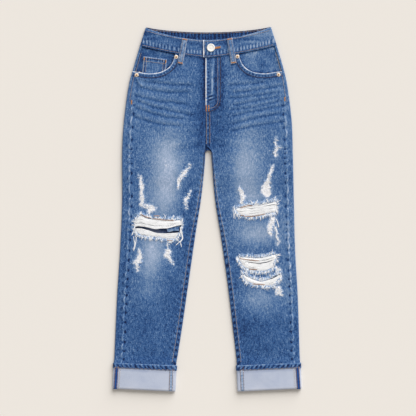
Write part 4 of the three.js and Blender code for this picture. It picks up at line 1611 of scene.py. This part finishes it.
overlock_stitches = 24
for side in sides:
    out = side["out"]
    turn_up = f"turn_up_{side['name']}"
    cloth_grid(turn_up, 200, 30, cuff_shape(side),
               replaces=[f"cuff_{side['name']}"],
               faces=[denim_wrong_side_and_shade], ring=True)
    cloth_grid(f"hem_band_{side['name']}", 240, 9, hem_shape(side),
               replaces=[f"hem_{side['name']}"],
               thickness=hem_ply, faces=[denim], ring=True)
    edge = 234.5 * out
    cuff_strip(side, "cuff_outseam", edge, edge + out * 4, 9.4, 0.32, 1.2, bright_denim)
    inner = -92 if out < 0 else 90
    cuff_strip(side, "cuff_inseam", inner, inner + out * 2.5, 10.5, 0.84, 0.9, denim)
    overlock = []
    for k in range(overlock_stitches):
        y = -408 - k * 2.4
        x = edge + out * 4 * (k / overlock_stitches) - out * (8.2 + 1.6 * (k % 2))
        overlock.append(np.array([(x - 1.6, y), (x + 1.6, y - 1.2)]))
    sew(f"cuff_overlock_{side['name']}", overlock, cuff_face, pale_thread, pitch=9, length=3.0,
        width=1.0)
    hem_x = np.linspace(242, 84, 90) * out
    share = ramp(np.abs(hem_x), 245, 80)
    hem_row = np.stack([hem_x, mix(cuff_top["outer"], cuff_top["inner"], share) - hem_band + 2.2], 1)
    sew(f"hem_stitching_{side['name']}", [hem_row], lambda x, y: cuff_face(x, y) + 1.0, brown_thread)


# ---- Bare weft across the rips -----------------------------------------------------------
# The warp has worn away and the white weft is left: yarn by yarn across each rip, drawn
# together where a slit has opened between two bands.

weft_yarn = thread_finish("weft_yarn", (250, 251, 255), 0.02)
frayed_warp = thread_finish("frayed_warp", (158, 186, 226), 0.24)


def yarns(name, runs, material, radius=0.55, flat=0.7):
    """Yarns as thin tubes along runs of (x, y, z), joined into one mesh."""
    section = [(1, 0), (0.6, 0.9), (-0.6, 0.9), (-1, 0), (-0.6, -0.9), (0.6, -0.9)]
    places = []
    faces = []
    start = 0
    for run in runs:
        run = np.asarray(run, float)
        ahead = np.gradient(run, axis=0)
        ahead /= np.maximum(np.linalg.norm(ahead, axis=1), 1e-9)[:, None]
        across = np.stack([-ahead[:, 1], ahead[:, 0], 0 * ahead[:, 0]], 1)
        across /= np.maximum(np.linalg.norm(across, axis=1), 1e-9)[:, None]
        up = np.cross(ahead, across)
        size = np.full(len(run), radius)
        size[0] = size[-1] = 0.35 * radius
        tube = np.stack([run + (across * wide + up * high * flat) * size[:, None]
                         for wide, high in section], 1)
        places.append(tube.reshape(-1, 3))
        count = len(run)
        k = np.arange(count - 1)[:, None] * 6
        j = np.arange(6)[None, :]
        quads = np.stack([k + j, k + (j + 1) % 6, k + 6 + (j + 1) % 6, k + 6 + j], -1).reshape(-1, 4)
        ends = np.array([[3, 2, 1, 0], [5, 4, 3, 0], [0, 1, 2, 3], [0, 3, 4, 5]])
        ends = ends + np.array([[0], [0], [(count - 1) * 6], [(count - 1) * 6]])
        faces.append(np.vstack([quads, ends]) + start)
        start += count * 6
    places = np.vstack(places)
    return add_mesh(name, places / 1000 + shift, np.vstack(faces), material)


# Each band: its upper edge, its lower edge, and the rip that it crosses.
weft_bands = [
    ("right_knee",
     [(-190, -20), (-172, -15), (-152, -24), (-133, -26), (-109, -28), (-84, -28), (-64, -27)],
     [(-190, -46), (-180, -45), (-151, -48), (-133.5, -52.5), (-104, -50.4), (-82, -43.4),
      (-66, -40)]),
    ("right_knee",
     [(-190, -48), (-171, -49.4), (-151, -54.6), (-140, -58.8), (-127.5, -62), (-97.6, -62),
      (-68, -60)],
     [(-188, -60), (-166.5, -68), (-152, -70), (-123, -73.5), (-108, -77), (-82, -77), (-70, -66)]),
    ("left_thigh",
     [(68, 2), (88, 8.5), (101, 14), (113, 13), (139, 15), (152, 18.5), (178, 24), (186, 24)],
     [(68, -8), (86, -17), (111, -20), (126, -18), (152, -12), (178, -9), (186, -8)]),
    ("left_knee_upper",
     [(80, -124), (99, -121.5), (121, -124), (137, -124.5), (155, -120.5), (177, -116), (184, -116)],
     [(80, -136), (94, -149), (110, -157), (137, -160.5), (155, -159), (171, -150), (184, -138)]),
    ("left_knee_lower",
     [(88, -165), (101, -171), (117, -178), (143, -186), (170, -180), (187, -171), (192, -168)],
     [(88, -178), (99, -185), (117, -192), (132, -196), (152, -198.5), (171, -197), (186, -184),
      (192, -180)]),
]

weft_spacing = 0.74
yarn_dice = np.random.RandomState(23)


def band_yarns(outline, upper, lower):
    """Yarns side by side from a band's upper edge to its lower one, cut off at the rip."""
    upper = np.array(upper, float)
    lower = np.array(lower, float)
    edge = np.vstack([outline, outline[:1]])
    deep = np.abs(upper[:, 1].mean() - lower[:, 1].mean())
    runs = []
    share = 0.02
    while share < 0.99:
        x = np.arange(upper[0, 0], upper[-1, 0], 3.2)
        top = np.interp(x, upper[:, 0], upper[:, 1])
        bottom = np.interp(x, lower[:, 0], lower[:, 1])
        row = yarn_dice.randint(0, 900)
        y = mix(top, bottom, share)
        y = y + 0.8 * mottle(x, row, 26, 1) + 0.3 * mottle(x, row, 8, 5)
        distance, _ = nearest(x, y, edge)
        kept = inside(x, y, outline) | (distance < 3.5)
        if kept.sum() > 4:
            x, y, distance = x[kept], y[kept], distance[kept]
            within = np.where(inside(x, y, outline), distance, 0)
            surface = lie(x, y) - denim_ply - 0.2
            z = surface + 2.2 * (1 - np.exp(-within / 1.8)) + 0.2 * mottle(x, y, 13, 4)
            runs.append(np.stack([x, y, z], 1))
        gap = weft_spacing * yarn_dice.uniform(0.85, 1.2)
        if yarn_dice.rand() < 0.05:
            gap += yarn_dice.uniform(0.6, 1.3)
        share += gap / deep
    return runs


yarns_of = {name: [] for name, _, _ in weft_bands}
for name, upper, lower in weft_bands:
    yarns_of[name] += band_yarns(rips[name], upper, lower)
for name, runs in yarns_of.items():
    piece = yarns(f"weft_yarns_{name}", runs, weft_yarn, 0.66, 0.42)
    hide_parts(f"weft_{name}")


# Frayed ends: soft broken warp, light blue, above and below each hole and rubbed patch, and
# short white ends of weft inside them.
end_places = 5


def short_end(x, y, heading, length, curl, lifted):
    """One loose end of yarn, a little arched, that curls as it goes."""
    run = []
    for _ in range(end_places):
        run.append((x, y))
        x += math.cos(heading) * length / (end_places - 1)
        y += math.sin(heading) * length / (end_places - 1)
        heading += curl
    arch = 0.5 * np.sin(np.linspace(0, math.pi, end_places))
    return on_cloth(np.array(run), lifted + arch)


def on_cloth(run, lifted):
    return np.column_stack([run, lie(run[:, 0], run[:, 1]) + lifted])


blue_ends = []
white_ends = []
root = 1.5                # how far back in the cloth a white end starts
ends_for_area = 0.085
for outline in rips.values():
    closed = np.vstack([outline, outline[:1]])
    for (x, y), (ax, ay) in zip(*spaced(closed, 0.7)):
        along_warp = math.copysign(math.pi / 2, ax)
        if abs(ax) > 0.4:
            heading = along_warp + yarn_dice.normal(0, 0.4)
            back = yarn_dice.uniform(-1.5, 3.5)
            blue_ends.append(short_end(x, y - back * math.sin(along_warp), heading,
                                       yarn_dice.uniform(5, 12), yarn_dice.normal(0, 0.25), 0.15))
        if yarn_dice.rand() < 0.26:
            heading = math.atan2(ax, -ay) + yarn_dice.normal(0, 0.8)
            root_x = x - root * math.cos(heading)
            root_y = y - root * math.sin(heading)
            white_ends.append(short_end(root_x, root_y, heading, yarn_dice.uniform(5, 11),
                                        yarn_dice.normal(0, 0.4), 0.3))
    for (x, y), (ax, ay) in zip(*spaced(closed, 8.5)):
        if ax > 0.4 and yarn_dice.rand() < 0.6:
            continue
        lean = math.copysign(math.pi / 2, ax) + yarn_dice.normal(0, 0.5)
        for _ in range(yarn_dice.randint(3, 6)):
            white_ends.append(short_end(x + yarn_dice.normal(0, 0.8), y + yarn_dice.normal(0, 0.8),
                                        lean + yarn_dice.normal(0, 0.18), yarn_dice.uniform(8, 14),
                                        yarn_dice.normal(0, 0.18), 0.4))
for run in scuffs:
    for (ax, ay, ar), (bx, by, br) in zip(run[:-1], run[1:]):
        length = math.hypot(bx - ax, by - ay)
        for _ in range(int(length * (ar + br) * ends_for_area) + 2):
            t = yarn_dice.rand()
            reach = mix(ar, br, t)
            x = mix(ax, bx, t) + yarn_dice.uniform(-1, 1) * reach * 0.8
            y = mix(ay, by, t) + yarn_dice.uniform(-1, 1) * reach * 0.8
            heading = yarn_dice.normal(0, 0.28) + (math.pi if yarn_dice.rand() < 0.5 else 0)
            white_ends.append(short_end(x, y, heading, yarn_dice.uniform(3, 7),
                                        yarn_dice.uniform(-0.3, 0.3), 0.15))
            if yarn_dice.rand() < 0.5:
                x = mix(ax, bx, t) + yarn_dice.choice([-1, 1]) * (reach + yarn_dice.uniform(-1, 3))
                heading = math.pi / 2 + yarn_dice.normal(0, 0.5)
                blue_ends.append(short_end(x, y, heading, yarn_dice.uniform(3, 7),
                                           yarn_dice.uniform(-0.4, 0.4), 0.1))

# Longer yarns that hang loose beside the rips, four to a strand.
hanging = [
    [(-188, -49), (-193, -58), (-196, -66)], [(-191, -70), (-189, -82), (-187, -93.6), (-191, -107)],
    [(-184.5, -70), (-185, -82), (-187, -93.6)], [(-72, -37), (-68, -40), (-64.6, -41)],
    [(-70, -45), (-66.7, -60), (-64.6, -75), (-71, -82), (-82, -91.5)],
    [(-66, -62), (-64.6, -76), (-69, -85), (-65.7, -96.7)],
    [(-101.8, -80), (-102.4, -92), (-101.8, -108)], [(72, 4), (70.5, -8), (72, -24)],
    [(79, -8), (83, -16), (89, -21.6)],
    [(180, -24), (184, -32), (188, -46)], [(176, -44), (182, -56), (180, -68), (186, -82)],
]
for path in hanging:
    strand = rounded(path, 4)
    down = np.linspace(0, 1, len(strand))[:, None]
    for _ in range(4):
        run = strand + yarn_dice.normal(0, 0.7, 2) + down * yarn_dice.normal(0, 1.1, 2)
        white_ends.append(on_cloth(run, 0.35))

# A few pairs of weft yarns along the rips' edges are coloured brown: painted shade standing in for the
# shadowed slits there.
slit_shade_paths = [
    [(-172, -11), (-160, -17), (-147, -21)], [(-139, -15), (-123, -15)],
    [(-140, -22), (-112, -25.5), (-86, -27)], [(86, -13), (112, -17), (152, -10)],
    [(84, -125.5), (104, -129), (135, -132)], [(110, -154), (130, -155)],
    [(118, -192), (150, -194)], [(86, 5), (104, 11), (118, 11)], [(-104, -79), (-90, -79.5)],
]
slit_shade_yarn = thread_finish("slit_shade_yarn", (182, 152, 136), 0.2)
slit_shade_runs = []
for path in slit_shade_paths:
    for drop in (0.45, 1.3):
        run = on_cloth(rounded(path, 6), 1.2)
        slit_shade_runs.append(run - np.array([0, drop, 0]))
yarns("slit_shade_weft", slit_shade_runs, slit_shade_yarn, 0.6)
yarns("frayed_blue_ends", blue_ends, frayed_warp, 0.55)
yarns("frayed_white_ends", white_ends, weft_yarn, 0.5)


# ---- Blue cloth left in the rips ---------------------------------------------------------
# Where warp has survived, a frayed island of the same denim still hangs between two bands of
# the bare weft, sunk a little below the face of the leg.

island_corners = np.array([(-107, -48), (-70, -40), (-72, -54), (-102, -57)], float)
island_sink = 1.9
island_ply = 0.9


def island_shape(u, v):
    x, y = between(island_corners, u, v)
    edge = np.minimum(np.minimum(u, 1 - u), np.minimum(v, 1 - v))
    x = x + 1.6 * mottle(x, y, 5, 2)
    y = y + 1.8 * mottle(x, y, 4, 3)
    z = lie(x, y) - island_sink + 0.4 * mottle(x, y, 9, 1)
    shade = 0.60 + 0.30 * mottle(x, y, 5, 6) + 0.08 * close_to(edge, 0.1)
    return x, y, z, shade


cloth_grid("blue_island_right_knee", 26, 12, island_shape,
           thickness=island_ply)


# ---- Button and rivets -------------------------------------------------------------------
# A plain domed shank button, worn silver-white, and pale rivets with a brown copper burr at
# the four pocket corners. Their solids are already right, so they only take their metal.

def metal_finish(name, tone, worn_tone, metallic, roughness):
    """A pale metal, rubbed in spots to another tone and a duller polish."""
    material, shader, nodes, link = new_finish(name, roughness, 0.5)
    shader.inputs["Metallic"].default_value = metallic
    spots = two_toned(shader, nodes, link, 420, 4, (0.35, worn_tone), (0.6, tone))
    rough = nodes.new("ShaderNodeMapRange")
    rough.inputs["To Min"].default_value = roughness
    rough.inputs["To Max"].default_value = roughness + 0.2
    link(spots, rough.inputs["Value"])
    link(rough.outputs["Result"], shader.inputs["Roughness"])
    return material


button_metal = metal_finish("button_metal", (255, 254, 250), (246, 242, 236), 0.08, 0.4)
rivet_metal = metal_finish("rivet_metal", (255, 244, 226), (244, 218, 186), 0.2, 0.35)
burr_metal = metal_finish("burr_metal", (186, 128, 84), (140, 88, 56), 0.4, 0.4)
hardware = {"button": button_metal}
burr_radii = (0.0021, 0.0021, 0.0011)
burr_sink = 0.0002
for corner in rivet_corners:
    node = f"rivet_{corner}"
    hardware[node] = rivet_metal
    low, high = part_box(node)
    bpy.ops.object.select_all(action="DESELECT")
    bpy.ops.mesh.primitive_uv_sphere_add(segments=20, ring_count=10, radius=1)
    burr = bpy.context.object
    burr.name = f"rivet_burr_{corner}"
    bpy.ops.transform.resize(value=burr_radii)
    middle = (np.array(low) + np.array(high)) / 2
    bpy.ops.transform.translate(value=(middle[0], middle[1], high[2] - burr_sink))
    bpy.ops.object.transform_apply(location=True, rotation=True, scale=True)
    bpy.ops.object.shade_smooth()
    burr.data.materials.append(burr_metal)
    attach(burr, "root")
hardware["zip"] = thread_finish("zip_tape", (58, 88, 138), 0.15)
for node, material in hardware.items():
    solid = bpy.data.objects[node]
    solid.data.materials.clear()
    solid.data.materials.append(material)
